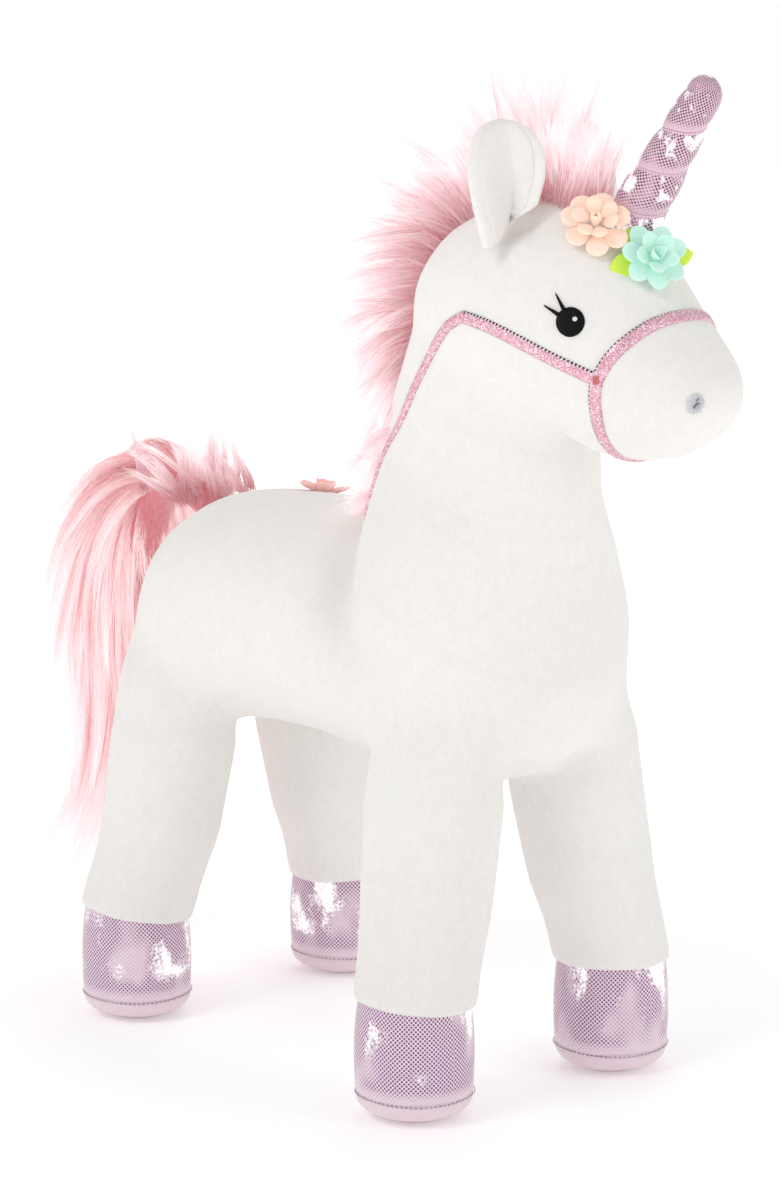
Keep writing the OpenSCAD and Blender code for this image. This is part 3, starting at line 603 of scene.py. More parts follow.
def thread_look(name, color, other, step, turn, sheen=0.4, gloss=(0.35, 0.6), shine=0.5):
    """Satin stitches: close parallel threads."""
    look = Look(name, rgb(color), 0.45, Sheen_Weight=sheen, Sheen_Roughness=0.35, Specular_IOR_Level=shine)
    place = look.place((1, 1, 1), turn)
    wave = look.add("TexWave", {"Vector": place, "Scale": 0.314 / (step * MM), "Distortion": 0.6,
                                "Detail": 1.0, "Detail Scale": 3.0}, wave_type="BANDS")
    fuzz = look.noise(4000, 2)
    look.color(look.mix(look.math("MULTIPLY", wave.outputs["Fac"], 0.6), rgba(color), rgba(other)))
    first = look.bump(wave.outputs["Fac"], 0.6, 0.0002)
    look.bump(fuzz, 0.2, 0.0001, first)
    look.rough(look.range(wave.outputs["Fac"], 0, 1, *gloss))
    return look.material


def backing_look(name, light, dark):
    """The knitted backing that long hair is rooted in."""
    look = Look(name, rgb(light), 0.9, Sheen_Weight=0.5, Sheen_Roughness=0.5)
    strands = look.noise(900, 3, look.place((1, 1, 0.2), (0, 0.6, 0)))
    look.color(look.mix(look.range(strands, 0.3, 0.7), rgba(light), rgba(dark)))
    look.bump(strands, 0.6, 0.0008)
    look.rough(look.range(strands, 0.3, 0.7, 0.8, 1.0))
    return look.material


def make_looks():
    return {
        "white_pile": pile_look("white_pile", "F3F1EE", "E9E6E2"),
        "ear_lining": pile_look("ear_lining", "F2EFEC", "E8E4E0"),
        "mane_fur": fur_look("mane_fur", "E3ADB3", "E9C8CC", "FBF4F5", 0.33),
        "tail_fur": fur_look("tail_fur", "EEA2A5", "F0C0C3", "FFF6F7", 0.24),
        "pink_backing": backing_look("pink_backing", "EAA0A6", "DE868E"),
        "horn_fabric": foil_look("horn_fabric", "E2BFCF", "4E2647", 170, 0.95, 1.0, 0.55, 0.46),
        "hoof_fabric": foil_look("hoof_fabric", "ECD6E1", "7A4A80", 60, 1.1, 1.0),
        "hoof_sole": foil_look("hoof_sole", "EBD5DF", "CFB2C8", 60, 1.1, 0.1),
        "horn_thread": thread_look("horn_thread", "C79DBB", "A87B9E", 0.3, (0.4, 0, 0)),
        "seam_thread": thread_look("seam_thread", "8E7085", "CDB4C4", 0.5, (0, 0, 0.4)),
        "ribbon": ribbon_look(),
        "tack": thread_look("tack", "E98A86", "D96F70", 0.3, (0, 0.7, 0)),
        "felt_peach": felt_look("felt_peach", "FFE8D8", "FFDAC4"),
        "felt_mint": felt_look("felt_mint", "D5F5EA", "C0EEDF"),
        "felt_lime": felt_look("felt_lime", "DCF468", "CBEA52"),
        "felt_coral": felt_look("felt_coral", "FCD3CD", "F6BEB8"),
        "eye_thread": thread_look("eye_thread", "020202", "050405", 0.28, (0.5, 0.2, 0.8), 0.0,
                                  (0.35, 0.5), 0.15),
        "glint_thread": thread_look("glint_thread", "F4F4F6", "D8D8DE", 0.25, (0.2, 0.5, 0)),
        "nostril_thread": thread_look("nostril_thread", "E9E7EE", "C6C3D0", 0.5, (0.3, 0.9, 0)),
        "nostril_mark": thread_look("nostril_mark", "5E5A68", "83808E", 0.3, (0, 0.4, 0)),
    }


LOOKS = make_looks()


def finish_piece(obj, look, body=None, replaces=()):
    """Gives a piece its material, its body and the nodes that it stands for."""
    obj.data.materials.clear()
    obj.data.materials.append(LOOKS[look])
    if body:
        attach(obj, body)
    if replaces:
        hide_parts(*replaces)
    return obj


# ---------------------------------------------------------------- skin

def cut_below(mesh, z):
    """Removes what lies below z, and closes the cut."""
    bm = bmesh.new()
    bm.from_mesh(mesh)
    bmesh.ops.remove_doubles(bm, verts=bm.verts, dist=1e-6)
    geometry = list(bm.verts) + list(bm.edges) + list(bm.faces)
    cut = bmesh.ops.bisect_plane(bm, geom=geometry, plane_co=(0, 0, z), plane_no=(0, 0, 1), clear_inner=True)
    rim = [e for e in cut["geom_cut"] if isinstance(e, bmesh.types.BMEdge)]
    bmesh.ops.contextual_create(bm, geom=rim)
    bm.to_mesh(mesh)
    bm.free()


def stuffed_volume():
    """One closed mesh of the whole stuffed toy, from the frame's skins and fillings, without the hooves."""
    names = [n for n in frame["nodes"] if n.split("_")[0] in ("body", "belly", "neck", "head", "leg")]
    joined = bmesh.new()
    for name in sorted(names):
        mesh = frame["nodes"][name].data.copy()
        if name.startswith("leg_filling"):
            cut_below(mesh, CUFF_Z)
        joined.from_mesh(mesh)
        bpy.data.meshes.remove(mesh)
    mesh = bpy.data.meshes.new("skin")
    joined.to_mesh(mesh)
    joined.free()
    return add_object("skin", mesh)


def keep_largest(mesh):
    """Deletes every loose part of a mesh but the largest, which is the outside."""
    bm = bmesh.new()
    bm.from_mesh(mesh)
    left = set(bm.verts)
    parts = []
    while left:
        start = left.pop()
        part, edge = {start}, [start]
        while edge:
            v = edge.pop()
            for e in v.link_edges:
                other = e.other_vert(v)
                if other in left:
                    left.discard(other)
                    part.add(other)
                    edge.append(other)
        parts.append(part)
    parts.sort(key=len)
    for part in parts[:-1]:
        bmesh.ops.delete(bm, geom=list(part), context="VERTS")
    bm.to_mesh(mesh)
    bm.free()


def inflate(obj, frames=20, cap=2.2 * MM):
    """Presses the skin outwards as cloth, as its stuffing does, and keeps each point near where it was."""
    before = coords(obj.data)
    modifier = obj.modifiers.new("stuffing", "CLOTH")
    cloth = modifier.settings
    cloth.quality = 4
    cloth.mass = 0.3
    cloth.tension_stiffness = 12
    cloth.compression_stiffness = 12
    cloth.shear_stiffness = 6
    cloth.bending_stiffness = 1.5
    cloth.use_pressure = True
    cloth.uniform_pressure_force = 4
    cloth.effector_weights.gravity = 0
    modifier.point_cache.frame_end = frames
    scene = bpy.context.scene
    for f in range(1, frames + 1):
        scene.frame_set(f)
    after = coords(obj.evaluated_get(bpy.context.evaluated_depsgraph_get()).data)
    obj.modifiers.clear()
    scene.frame_set(1)
    move = after - before
    far = np.linalg.norm(move, axis=1, keepdims=True)
    set_coords(obj.data, before + move * np.minimum(1, cap / np.maximum(far, 1e-9)))


def round_cuffs(mesh):
    """Swells the foot of each leg a little past its hoof, so that the pile makes a soft edge over it."""
    points = coords(mesh)
    slant = np.array([math.cos(CUFF_TURN), math.sin(CUFF_TURN)])
    for leg in LEGS:
        low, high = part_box("hoof_cover_" + leg)
        hip = joint_point("hip_" + leg)
        foot = np.array([(low.x + high.x) / 2, (low.y + high.y) / 2])
        radius = (high.x - low.x) / 2
        up = np.clip((points[:, 2] - CUFF_Z) / (hip.z - CUFF_Z), 0, 1)[:, None]
        away = points[:, :2] - (foot + (np.array([hip.x, hip.y]) - foot) * up)
        far = np.linalg.norm(away, axis=1)
        mine = (far < radius * 1.6) & (points[:, 2] < CUFF_Z + CUFF_RISE)
        share = np.where(mine, smoothstep((CUFF_Z + CUFF_RISE - points[:, 2]) / CUFF_RISE), 0)
        edge = smoothstep((points[:, 2] - CUFF_Z + 1 * MM) / (3.5 * MM))
        target = radius + CUFF_LIP * (0.25 + 0.75 * edge)
        change = np.where(far > radius * 0.62, share * (target - far) / np.maximum(far, 1e-9), 0)
        tilt = math.tan(math.radians(CUFF_TILT[leg])) * (away @ slant)
        points[:, :2] += away * change[:, None]
        points[:, 2] += share * (CUFF_LIFT - tilt)
    set_coords(mesh, points)


def soften_joins(mesh):
    """Smooths the folds where the neck meets the back and the chest."""
    points = coords(mesh)
    rise = (points - np.array(NECK_PIVOT)) @ np.array(NECK_UP)
    weight = smoothstep(1.25 - np.abs(rise + 26 * MM) / (46 * MM)) * (points[:, 2] > BELLY_Z + 8 * MM)
    relax(mesh, 130, keep=0.508, weight=(weight * 0.95)[:, None])


def raise_brow(mesh):
    """Fills out the crown of the head, in front of the ears."""
    points = coords(mesh)
    crown = np.array(in_head(20, 0, 306))
    far = np.linalg.norm((points - crown) * np.array([1, 1, 0.7]), axis=1)
    points[:, 2] += BROW_RISE * smoothstep(1.15 - far / (40 * MM))
    set_coords(mesh, points)


def make_skin():
    """The whole stuffed skin at rest, as one smooth mesh."""
    obj = voxel(stuffed_volume(), 3.6 * MM)
    keep_largest(obj.data)
    shape = surface_of(obj.data)
    relax(obj.data, 18)
    set_coords(obj.data, coords(obj.data) - vertex_normals(obj.data) * 1.0 * MM)
    inflate(obj)
    relax(obj.data, 8)
    regrow(obj.data, shape, 0.5 * MM)
    soften_joins(obj.data)
    raise_brow(obj.data)
    round_cuffs(obj.data)
    relax(obj.data, 2)
    subdivide(obj, 1)
    obj.data.shade_smooth()
    return obj


def regions(points):
    """For each point: 0 on the trunk, 1 on the neck, 2 on the head, and 0.5 or 1.5 where the skin turns."""
    neck = (points - np.array(NECK_PIVOT)) @ np.array(NECK_UP)
    head = (points - np.array(HEAD_PIVOT)) @ np.array(HEAD_UP)
    kind = np.zeros(len(points))
    kind[neck > NECK_TURNS[0]] = 0.5
    kind[neck >= NECK_TURNS[1]] = 1.0
    kind[head > HEAD_TURNS[0]] = 1.5
    kind[head >= HEAD_TURNS[1]] = 2.0
    return kind


def split_skin(skin):
    """Cuts the skin into its pieces where it turns."""
    points = coords(skin.data)
    quads = np.array([list(p.vertices) + [p.vertices[0]] * (4 - len(p.vertices)) for p in skin.data.polygons])
    low = points[:, 2] < BELLY_Z - HIP_DROP
    foot = points[:, 2] <= BELLY_Z - HIP_DROP - HIP_DEPTH
    kind = np.where(low, 0.0, regions(points))[quads]
    least, most = kind.min(1), kind.max(1)
    turning = (least != most) | (least != np.floor(least))
    hanging, straight = low[quads].any(1), foot[quads].all(1)
    leg_number = (2 * (points[:, 0] < 0) + (points[:, 1] > 0))[quads[:, 0]]
    still, bent = ~hanging & ~turning, ~hanging & turning
    chosen = {"skin_trunk": still & (least == 0), "skin_neck": still & (least == 1),
              "skin_head": still & (least == 2), "skin_chest": bent & (least < 1),
              "skin_throat": bent & (least >= 1)}
    for number, leg in enumerate(LEGS):
        mine = hanging & (leg_number == number)
        chosen["skin_hip_" + leg] = mine & ~straight
        chosen["skin_leg_" + leg] = mine & straight
    normals = vertex_normals(skin.data)
    made = {name: skin_piece(name, points, normals, quads[mine]) for name, mine in chosen.items()}
    bpy.data.objects.remove(skin)
    return made


def skin_piece(name, points, normals, quads):
    """Some faces of the skin as an object, with the whole skin's normals so that no cut shows."""
    used, faces = np.unique(quads, return_inverse=True)
    faces = [tuple(dict.fromkeys(f)) for f in faces.reshape(-1, 4).tolist()]
    mesh = bpy.data.meshes.new(name)
    mesh.from_pydata(points[used].tolist(), [], faces)
    mesh.shade_smooth()
    mesh.normals_split_custom_set_from_vertices(normals[used].tolist())
    return add_object(name, mesh)


def along(pivot, direction, distance):
    return tuple(pivot + direction * distance)


def bend_neck(obj):
    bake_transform(obj)


def bend_head(obj):
    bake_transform(obj)


def attach_skin(pieces):
    """Puts each piece of skin on its body; the pieces across a joint are left where they are, on no body."""
    stands_for = {
        "skin_trunk": ["body_panel_right", "body_panel_left", "belly_gusset", "body_filling"],
        "skin_neck": ["neck_panel_right", "neck_panel_left", "neck_filling"],
        "skin_head": ["head_panel_right", "head_panel_left", "head_gusset", "head_filling"],
    }
    for leg in LEGS:
        stands_for["skin_leg_" + leg] = ["leg_skin_" + leg, "leg_filling_" + leg]
    for name, obj in pieces.items():
        finish_piece(obj, "white_pile", replaces=stands_for.get(name, ()))
    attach(pieces["skin_trunk"], "trunk")
    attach(pieces["skin_neck"], "neck")
    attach(pieces["skin_head"], "head")
    bend_neck(pieces["skin_chest"])
    bend_head(pieces["skin_throat"])
    for leg in LEGS:
        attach(pieces["skin_leg_" + leg], "leg_" + leg)
        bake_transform(pieces["skin_hip_" + leg])


# ---------------------------------------------------------------- hooves

def lathe(name, profile, sides, at, wobble=0.0, seed=0):
    """A turned surface round a vertical axis, with its pattern laid flat in millimetres."""
    profile = np.asarray(profile, float)
    widest = profile[:, 0].max()
    phase = np.random.default_rng(seed).uniform(0, 2 * np.pi, 3)
    angle = np.linspace(0, 2 * np.pi, sides + 1)
    push = sum(np.sin(k * angle + p) for k, p in zip((2, 3, 5), phase)) * wobble / 3
    r = profile[:, :1] + push * (profile[:, :1] > 0.3 * widest)
    z = profile[:, 1:] + 0 * r
    points = np.stack([at.x + r * np.cos(angle), at.y + r * np.sin(angle), z], axis=-1)
    mesh = fast_mesh(name, points.reshape(-1, 3), [grid_faces(len(profile), sides + 1)])
    length = np.concatenate([[0], np.cumsum(np.linalg.norm(np.diff(profile, axis=0), axis=1))])
    u = np.broadcast_to(angle * widest, r.shape) / MM
    v = np.broadcast_to(length[:, None], r.shape) / MM
    set_uv(mesh, np.stack([u, v], axis=-1).reshape(-1, 2))
    weld(mesh)
    return add_object(name, mesh)


def weld(mesh, distance=1e-5):
    bm = bmesh.new()
    bm.from_mesh(mesh)
    bmesh.ops.remove_doubles(bm, verts=bm.verts, dist=distance)
    bmesh.ops.dissolve_degenerate(bm, edges=bm.edges, dist=1e-6)
    bmesh.ops.recalc_face_normals(bm, faces=bm.faces)
    bm.to_mesh(mesh)
    bm.free()
    mesh.shade_smooth()


def hoof_profile(r, seam, top):
    """Radius and height of a hoof's cover, from under its edge up to where the leg hides it."""
    rise = np.linspace(0, 1, 26)
    bulge = 1 + 0.03 * np.sin(np.pi * np.clip(rise * 1.15, 0, 1)) - 0.07 * rise ** 3
    side = [(r * b, seam + (top - seam) * t) for t, b in zip(rise, bulge)]
    return [(r * f, seam - 1.2 * MM * (1 - f)) for f in (0.9, 0.95, 0.985)] + side


def sole_profile(r, seam):
    """Radius and height of a sole: flat on the floor, then curving up to the seam and in under the cover."""
    profile = [(0.0, 0.0)]
    for share in np.linspace(0, 1, 18)[1:]:
        turn = share * math.pi / 2
        rise = (seam + 0.2 * MM) * (1 - math.cos(turn) ** 0.75) if share > SOLE_FLAT else 0.0
        profile.append((r * math.sin(turn) ** 0.9, rise))
    return profile + [(r * 0.96, seam + 1.5 * MM)]


def make_hoof(leg, number):
    """A hoof: a slightly flared cup of foil fabric, a domed sole and the stitches between them."""
    low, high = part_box("hoof_cover_" + leg)
    at = (low + high) / 2
    r = (high.x - low.x) / 2
    seam = low.z + HOOF_SEAM
    cover = lathe("hoof_" + leg, hoof_profile(r, seam, high.z + HOOF_HIDDEN), 96, at, 0.35 * MM, number)
    sole = lathe("hoof_sole_" + leg, sole_profile(r, seam), 96, at, 0.3 * MM, number)
    height = (coords(cover.data)[:, 2] - seam) / (high.z - seam)
    # Where the foil's painted reflections show: none at the hoof's foot, painted dark dots from a little
    # above it, painted highlights higher up
    set_value(cover.data, "painted_reflection_zone", smoothstep((height - 0.02) / 0.4))
    body = "leg_" + leg
    finish_piece(cover, "hoof_fabric", body, ["hoof_cover_" + leg])
    finish_piece(sole, "hoof_sole", body, ["hoof_sole_" + leg])
    stitches = stitch_ring("hoof_seam_" + leg, at, r * 1.012, seam, 76, number)
    finish_piece(stitches, "seam_thread", body)


def stitch_ring(name, at, r, z, count, seed):
    """Short stitches round a seam, each a small bent capsule of thread."""
    rng = np.random.default_rng(seed + 50)
    lines = []
    for i in range(count):
        a = 2 * np.pi * i / count
        span = 2 * np.pi / count * rng.uniform(0.55, 0.75)
        t = a + span * np.linspace(-0.5, 0.5, 5)
        tilt = rng.uniform(-0.15, 0.15) * MM
        out = r + 0.12 * MM * np.cos(np.linspace(-1.3, 1.3, 5))
        lines.append(np.stack([at.x + out * np.cos(t), at.y + out * np.sin(t),
                               z + tilt * np.linspace(-1, 1, 5) + 0.25 * MM * np.sin(a * 3)], axis=1))
    return thread_mesh(name, np.array(lines), 0.2 * MM)


def tubes(lines, size, guide, sides):
    """Points and faces of round tubes along lines, an array of lines x points x 3, closed at both ends."""
    n, k, _ = lines.shape
    tangent = np.gradient(lines, axis=1)
    tangent /= np.linalg.norm(tangent, axis=2, keepdims=True) + 1e-12
    one = np.cross(tangent, guide)
    one /= np.linalg.norm(one, axis=2, keepdims=True) + 1e-12
    two = np.cross(tangent, one)
    angle = (np.arange(sides) * 2 * np.pi / sides)[None, None, :, None]
    out = one[:, :, None, :] * np.cos(angle) + two[:, :, None, :] * np.sin(angle)
    ring = lines[:, :, None, :] + size[:, :, None, None] * out
    quads = (tube_faces(k, sides)[None] + (np.arange(n) * k * sides)[:, None, None]).reshape(-1, 4)
    start = np.arange(n)[:, None] * k * sides
    caps = np.concatenate([start + np.arange(sides)[::-1], start + (k - 1) * sides + np.arange(sides)])
    return ring.reshape(-1, 3), [quads, caps]


def thread_mesh(name, lines, radius, sides=6, taper=None):
    """Round threads along lines."""
    n, k, _ = lines.shape
    tangent = np.gradient(lines, axis=1)
    tangent /= np.linalg.norm(tangent, axis=2, keepdims=True) + 1e-12
    guide = np.where(np.abs(tangent[:, :, 2:]) > 0.9, np.array([1.0, 0, 0]), np.array([0, 0, 1.0]))
    profile = np.sin(np.linspace(0.25, np.pi - 0.25, k)) ** 0.4 if taper is None else taper
    size = (np.asarray(radius) * np.ones((n, 1))) * profile
    return add_object(name, fast_mesh(name, *tubes(lines, size, guide, sides)))


# ---------------------------------------------------------------- fur

def strand_mesh(name, lines, radius, tone, bare=0.02):
    """Hairs as thin three-sided tapering strands. lines is hairs x points x 3."""
    n, k, _ = lines.shape
    guide = np.random.default_rng(n).normal(size=(n, 1, 3))
    t = np.linspace(0, 1, k)
    size = radius[:, None] * np.maximum(1 - t ** 2.2, bare)[None, :]
    mesh = fast_mesh(name, *tubes(lines, size, guide, 3))
    set_value(mesh, "along", np.tile(np.repeat(t, 3), n))
    set_value(mesh, "tone", np.repeat(tone, k * 3))
    return add_object(name, mesh)


def bezier(a, b, c, d, t):
    """Cubic curves, one for each row of the four arrays of points, at the shares t."""
    t = t[None, :, None]
    a, b, c, d = (x[:, None, :] for x in (a, b, c, d))
    return (1 - t) ** 3 * a + 3 * (1 - t) ** 2 * t * b + 3 * (1 - t) * t ** 2 * c + t ** 3 * d


def resample(lines, share):
    """Each line from its start to its own share of its length, with as many points as before."""
    k = lines.shape[1]
    at = share * np.linspace(0, 1, k)[None, :] * (k - 1)
    i = np.minimum(at.astype(int), k - 2)
    f = (at - i)[:, :, None]
    rows = np.arange(len(lines))[:, None]
    return lines[rows, i] * (1 - f) + lines[rows, i + 1] * f


def unit_rows(vectors):
    return vectors / np.linalg.norm(vectors, axis=1, keepdims=True)


def grow(guides, per_clump, rng, root_spread, tip_spread, stray=0.2, wave=0.8 * MM, short=0.55):
    """Hairs round each guide line: apart at the root, drawn together towards the tip, of unequal lengths."""
    t = np.linspace(0, 1, guides.shape[1])[None, :]
    lines = np.repeat(guides, per_clump, axis=0)
    m = len(lines)
    away = unit_rows(rng.normal(size=(m, 3)))
    reach = rng.uniform(0.1, 1, (m, 1)) ** 0.5
    loose = rng.uniform(size=(m, 1)) < stray
    tip = np.where(loose, tip_spread * 3.5, tip_spread)
    spread = (root_spread * (1 - t) ** 1.2 + tip * t ** 1.3) * reach
    turn = rng.uniform(0, 2 * np.pi, (m, 1))
    ripple = np.sin(turn + t * rng.uniform(2, 6, (m, 1))) * wave * t
    side = unit_rows(rng.normal(size=(m, 3)))
    lines = lines + away[:, None, :] * spread[:, :, None] + side[:, None, :] * ripple[:, :, None]
    return resample(lines, rng.uniform(short, 1.0, (m, 1)) ** 0.7)


def trim(lines):
    """Cuts hairs short where they would reach too far up or back from the toy."""
    keep = np.ones(len(lines))
    for axis, limit, way in ((2, HAIR_TOP, 1), (0, HAIR_BACK, -1)):
        far = (lines[:, :, axis] * way).max(axis=1)
        root = lines[:, 0, axis] * way
        share = (limit - root) / np.maximum(far - root, 1e-6)
        keep = np.where(far > limit, np.minimum(keep, share * 0.97), keep)
    return resample(lines, keep[:, None])


def fur_pieces(name, guides, per_clump, seed, look, root_spread, tip_spread, thick=0.16 * MM, **options):
    """Hair round guide lines, as a few pieces of a size that every file format takes."""
    rng = np.random.default_rng(seed)
    lines = trim(grow(guides, per_clump, rng, root_spread, tip_spread, **options))
    clump_tone = np.repeat(rng.uniform(0, 1, len(guides)), per_clump)
    tone = np.clip(clump_tone * 0.6 + rng.uniform(0, 1, len(lines)) * 0.5 - 0.05, 0, 1)
    radius = thick * rng.uniform(0.7, 1.2, len(lines))
    parts = math.ceil(len(lines) / HAIRS_A_PIECE)
    made = []
    for k in range(parts):
        mine = slice(k, None, parts)
        obj = strand_mesh("%s_%d" % (name, k), lines[mine], radius[mine], tone[mine])
        obj.data.materials.append(LOOKS[look])
        made.append(obj)
    return made


def tail_guides(rng, count):
    """Guide lines of the tail: out of the rump, up and over the root, then down in a long loose plume."""
    steps = 60
    line = curve_through(TAIL_LINE, steps) * MM
    stations = np.linspace(0, 1, steps)
    half = np.interp(stations, TAIL_AT, TAIL_DEEP) * MM
    broad = np.interp(stations, TAIL_AT, TAIL_WIDE) * MM
    across = np.array([0, 1.0, 0])
    outward = np.cross(unit_rows(np.gradient(line, axis=0)), across)
    start = rng.uniform(0.0, 0.66, count) ** 1.2
    end = np.minimum(start + rng.uniform(0.34, 0.56, count), 1.0)
    angle = rng.uniform(0, 2 * np.pi, count)
    rho = np.sqrt(rng.uniform(0.02, 1, count))
    t = np.linspace(0, 1, 9)
    index = np.clip((start[:, None] + (end - start)[:, None] * t) * (steps - 1), 0, steps - 1.001)
    i = index.astype(int)
    f = index - i
    middle = line[i] * (1 - f)[..., None] + line[i + 1] * f[..., None]
    deep = half[i] * (1 - f) + half[i + 1] * f
    wide = broad[i] * (1 - f) + broad[i + 1] * f
    open_up = (0.22 + 0.8 * t ** 0.75) * rho[:, None]
    phase = t * rng.uniform(2, 5, (count, 1)) + rng.uniform(0, 6.3, (count, 1))
    sway = np.sin(phase) * 2.5 * MM * t
    return (middle + outward[i] * (np.cos(angle)[:, None] * deep * open_up)[..., None]
            + across * (np.sin(angle)[:, None] * wide * open_up + sway)[..., None])


def make_tail():
    """The plume, the short hair over its root, and the padded core that it hangs from."""
    rng = np.random.default_rng(5)
    plume = fur_pieces("tail_fur", tail_guides(rng, 620), 36, 11, "tail_fur", 3.2 * MM, 1.3 * MM, short=0.5)
    crown = fur_pieces("tail_crown", tuft_guides(rng, 90), 30, 15, "mane_fur", 2.5 * MM, 1.2 * MM, short=0.35)
    for obj in plume + crown:
        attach(obj, "tail")
    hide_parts("tail_fur")
    core_line = curve_through(TAIL_CORE, 30) * MM
    size = np.interp(np.linspace(0, 1, 30), [0, 0.12, 0.4, 0.7, 1], [6, 8, 9, 7, 1.5]) * MM
    core = plain_tube("tail_core", core_line, size, 16)
    finish_piece(core, "pink_backing", "tail", ["tail_root"])


def plain_tube(name, line, size, sides):
    """A round tube of changing size along a line, closed at its ends."""
    return add_object(name, fast_mesh(name, *tubes(line[None], size[None], np.array([0, 1.0, 0]), sides)))


def tuft_guides(rng, count):
    """The short fan of hair that stands up where the tail leaves the rump."""
    base = np.array([-104, 0, 191]) * MM
    root = base + rng.normal(size=(count, 3)) * np.array([9, 8, 1.5]) * MM
    lean = rng.uniform(-1.6, 0.3, count)
    side = rng.normal(0, 0.4, count)
    length = rng.uniform(18, 36, (count, 1)) * MM
    way = unit_rows(np.stack([lean, side, 1.0 - 0.35 * np.abs(lean)], axis=1)) * length
    sag = np.array([-1.0, 0, -0.5]) * length * 0.25
    return bezier(root, root + way * 0.3, root + way * 0.7, root + way + sag, np.linspace(0, 1, 9))


def crest_roots(tree, line, half, rng, count):
    """Root points and outward directions spread over a strip of skin along a line."""
    share = np.sort(rng.uniform(0, 1, count))
    steps = 60
    path = curve_through(line, steps)
    at = share * (steps - 1)
    i = np.minimum(at.astype(int), steps - 2)
    f = (at - i)[:, None]
    middle = path[i] * (1 - f) + path[i + 1] * f
    spread = middle + np.array(head_direction(0, 1, 0)) * (rng.uniform(-1, 1, (count, 1)) * half)
    found = [tree.find_nearest(Vector(p)) for p in spread]
    roots = np.array([place - normal * 0.6 * MM for place, normal, _, _ in found])
    return roots, np.array([normal for _, normal, _, _ in found]), share


def mane_guides(tree, line, half, rng, count, length, way, droop, lift=0.45):
    """Guide lines that leave the skin, then turn to lie along way and droop at the tip."""
    roots, normals, share = crest_roots(tree, line, half, rng, count)
    long = np.interp(share, np.linspace(0, 1, len(length)), length) * rng.uniform(0.6, 1.2, count) * MM
    long = long[:, None]
    way = np.array(way)
    stations = np.linspace(0, 1, len(way))
    ways = np.stack([np.interp(share, stations, way[:, axis]) for axis in range(3)], axis=1)
    ways = unit_rows(ways + rng.normal(0, 0.24, (count, 3)))
    one = roots + (normals * lift + ways * (1 - lift)) * long * 0.33
    two = roots + (normals * lift * 0.5 + ways) * long * 0.66
    tip = roots + ways * long + np.array([0, 0, -1.0]) * droop * long
    return bezier(roots, one, two, tip, np.linspace(0, 1, 8))


def mane_part(tree, rng, name, head, toy, half, count, long, way, droop, lift, each, seed, spread, short,
              thick=0.16):
    """One part of the mane, rooted along a line down the middle of the head and neck."""
    line = [in_head(*p) for p in head] + [Vector(p) * MM for p in toy]
    back = np.array(head_direction(-1, 0, 0))
    ways = [back * b + np.array([0, 0, 1.0]) * u for b, u in way]
    guides = mane_guides(tree, line, half * MM, rng, count, long, ways, droop, lift)
    return fur_pieces(name, guides, each, seed, "mane_fur", spread[0] * MM, spread[1] * MM,
                      thick=thick * MM, short=short)


def make_mane(tree):
    """The mane from the forelock to the withers. What crosses the head and neck joints is left where it is,
    on no body.
    """
    rng = np.random.default_rng(21)
    poll, nape, crest, low, high = [mane_part(tree, rng, **part) for part in MANE]
    for obj in nape:
        bend_head(obj)
    for obj in crest:
        bend_neck(obj)
    for obj in poll + low + high:
        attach(obj, "head")
    for obj, node in ((poll[0], "poll_mane"), (crest[0], "crest_mane"), (low[0], "forelock")):
        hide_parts(node)


# ---------------------------------------------------------------- horn

def horn_radius(s):
    """The horn's radius at shares of its length, before the thread draws it in."""
    return np.interp(s, [-0.12, 0, 0.6, 1], [HORN_FOOT * 1.03, HORN_FOOT, HORN_MIDDLE, HORN_TIP])


def make_horn():
    """Foil fabric wound round with thread, which draws it in along a spiral."""
    base = np.array(in_head(*HORN_BASE))
    lean = math.radians(HORN_LEAN)
    axis = np.array(head_direction(math.sin(lean), 0, math.cos(lean)))
    rows, sides = 170, 80
    s = np.linspace(-0.12, 1, rows)[:, None]
    angle = (np.arange(sides) * 2 * np.pi / sides)[None, :]
    phase = (HORN_TURNS * s - angle / (2 * np.pi)) % 1.0
    bulge = np.sin(np.pi * phase) ** 0.5 * (0.86 + 0.28 * phase)
    r = horn_radius(s) * (0.84 + 0.16 * bulge)
    end = np.clip((s - 0.88) / 0.12, 0, 1)
    r = r * np.sqrt(np.maximum(1 - end ** 2.4, 0))
    one = np.array(head_direction(0, 1, 0))
    two = np.cross(axis, one)
    points = (base + (s * HORN_LENGTH)[..., None] * axis
              + r[..., None] * (np.cos(angle)[..., None] * one + np.sin(angle)[..., None] * two))
    mesh = fast_mesh("horn", points.reshape(-1, 3), [tube_faces(rows, sides)])
    u = np.broadcast_to(angle * HORN_PATTERN, r.shape)
    v = np.broadcast_to(s * HORN_LENGTH / MM, r.shape)
    set_uv(mesh, np.stack([u, v], axis=-1).reshape(-1, 2))
    # Where the horn's painted reflections lie in each wound lobe: painted dark dots over most of it, painted
    # highlights over its later half; near the tip only painted dark dots
    painted_reflection_zone = smoothstep((phase - 0.03) / 0.5) * (phase < 0.95)
    set_value(mesh, "painted_reflection_zone", np.maximum(painted_reflection_zone, 0.3 * (s > 0.86)).ravel())
    weld(mesh, 5e-5)
    obj = add_object("horn", mesh)
    finish_piece(obj, "horn_fabric", "head", ["horn_cover", "horn_filling"])
    t = np.linspace(0.02, 0.85, 260)
    a = 2 * np.pi * HORN_TURNS * t
    out = horn_radius(t) * 0.845
    line = (base + (t * HORN_LENGTH)[:, None] * axis
            + out[:, None] * (np.cos(a)[:, None] * one + np.sin(a)[:, None] * two))
    thread = thread_mesh("horn_thread_winding", line[None], 0.22 * MM, 8, np.ones(260))
    finish_piece(thread, "horn_thread", "head", ["horn_thread"])


# ---------------------------------------------------------------- ribbons

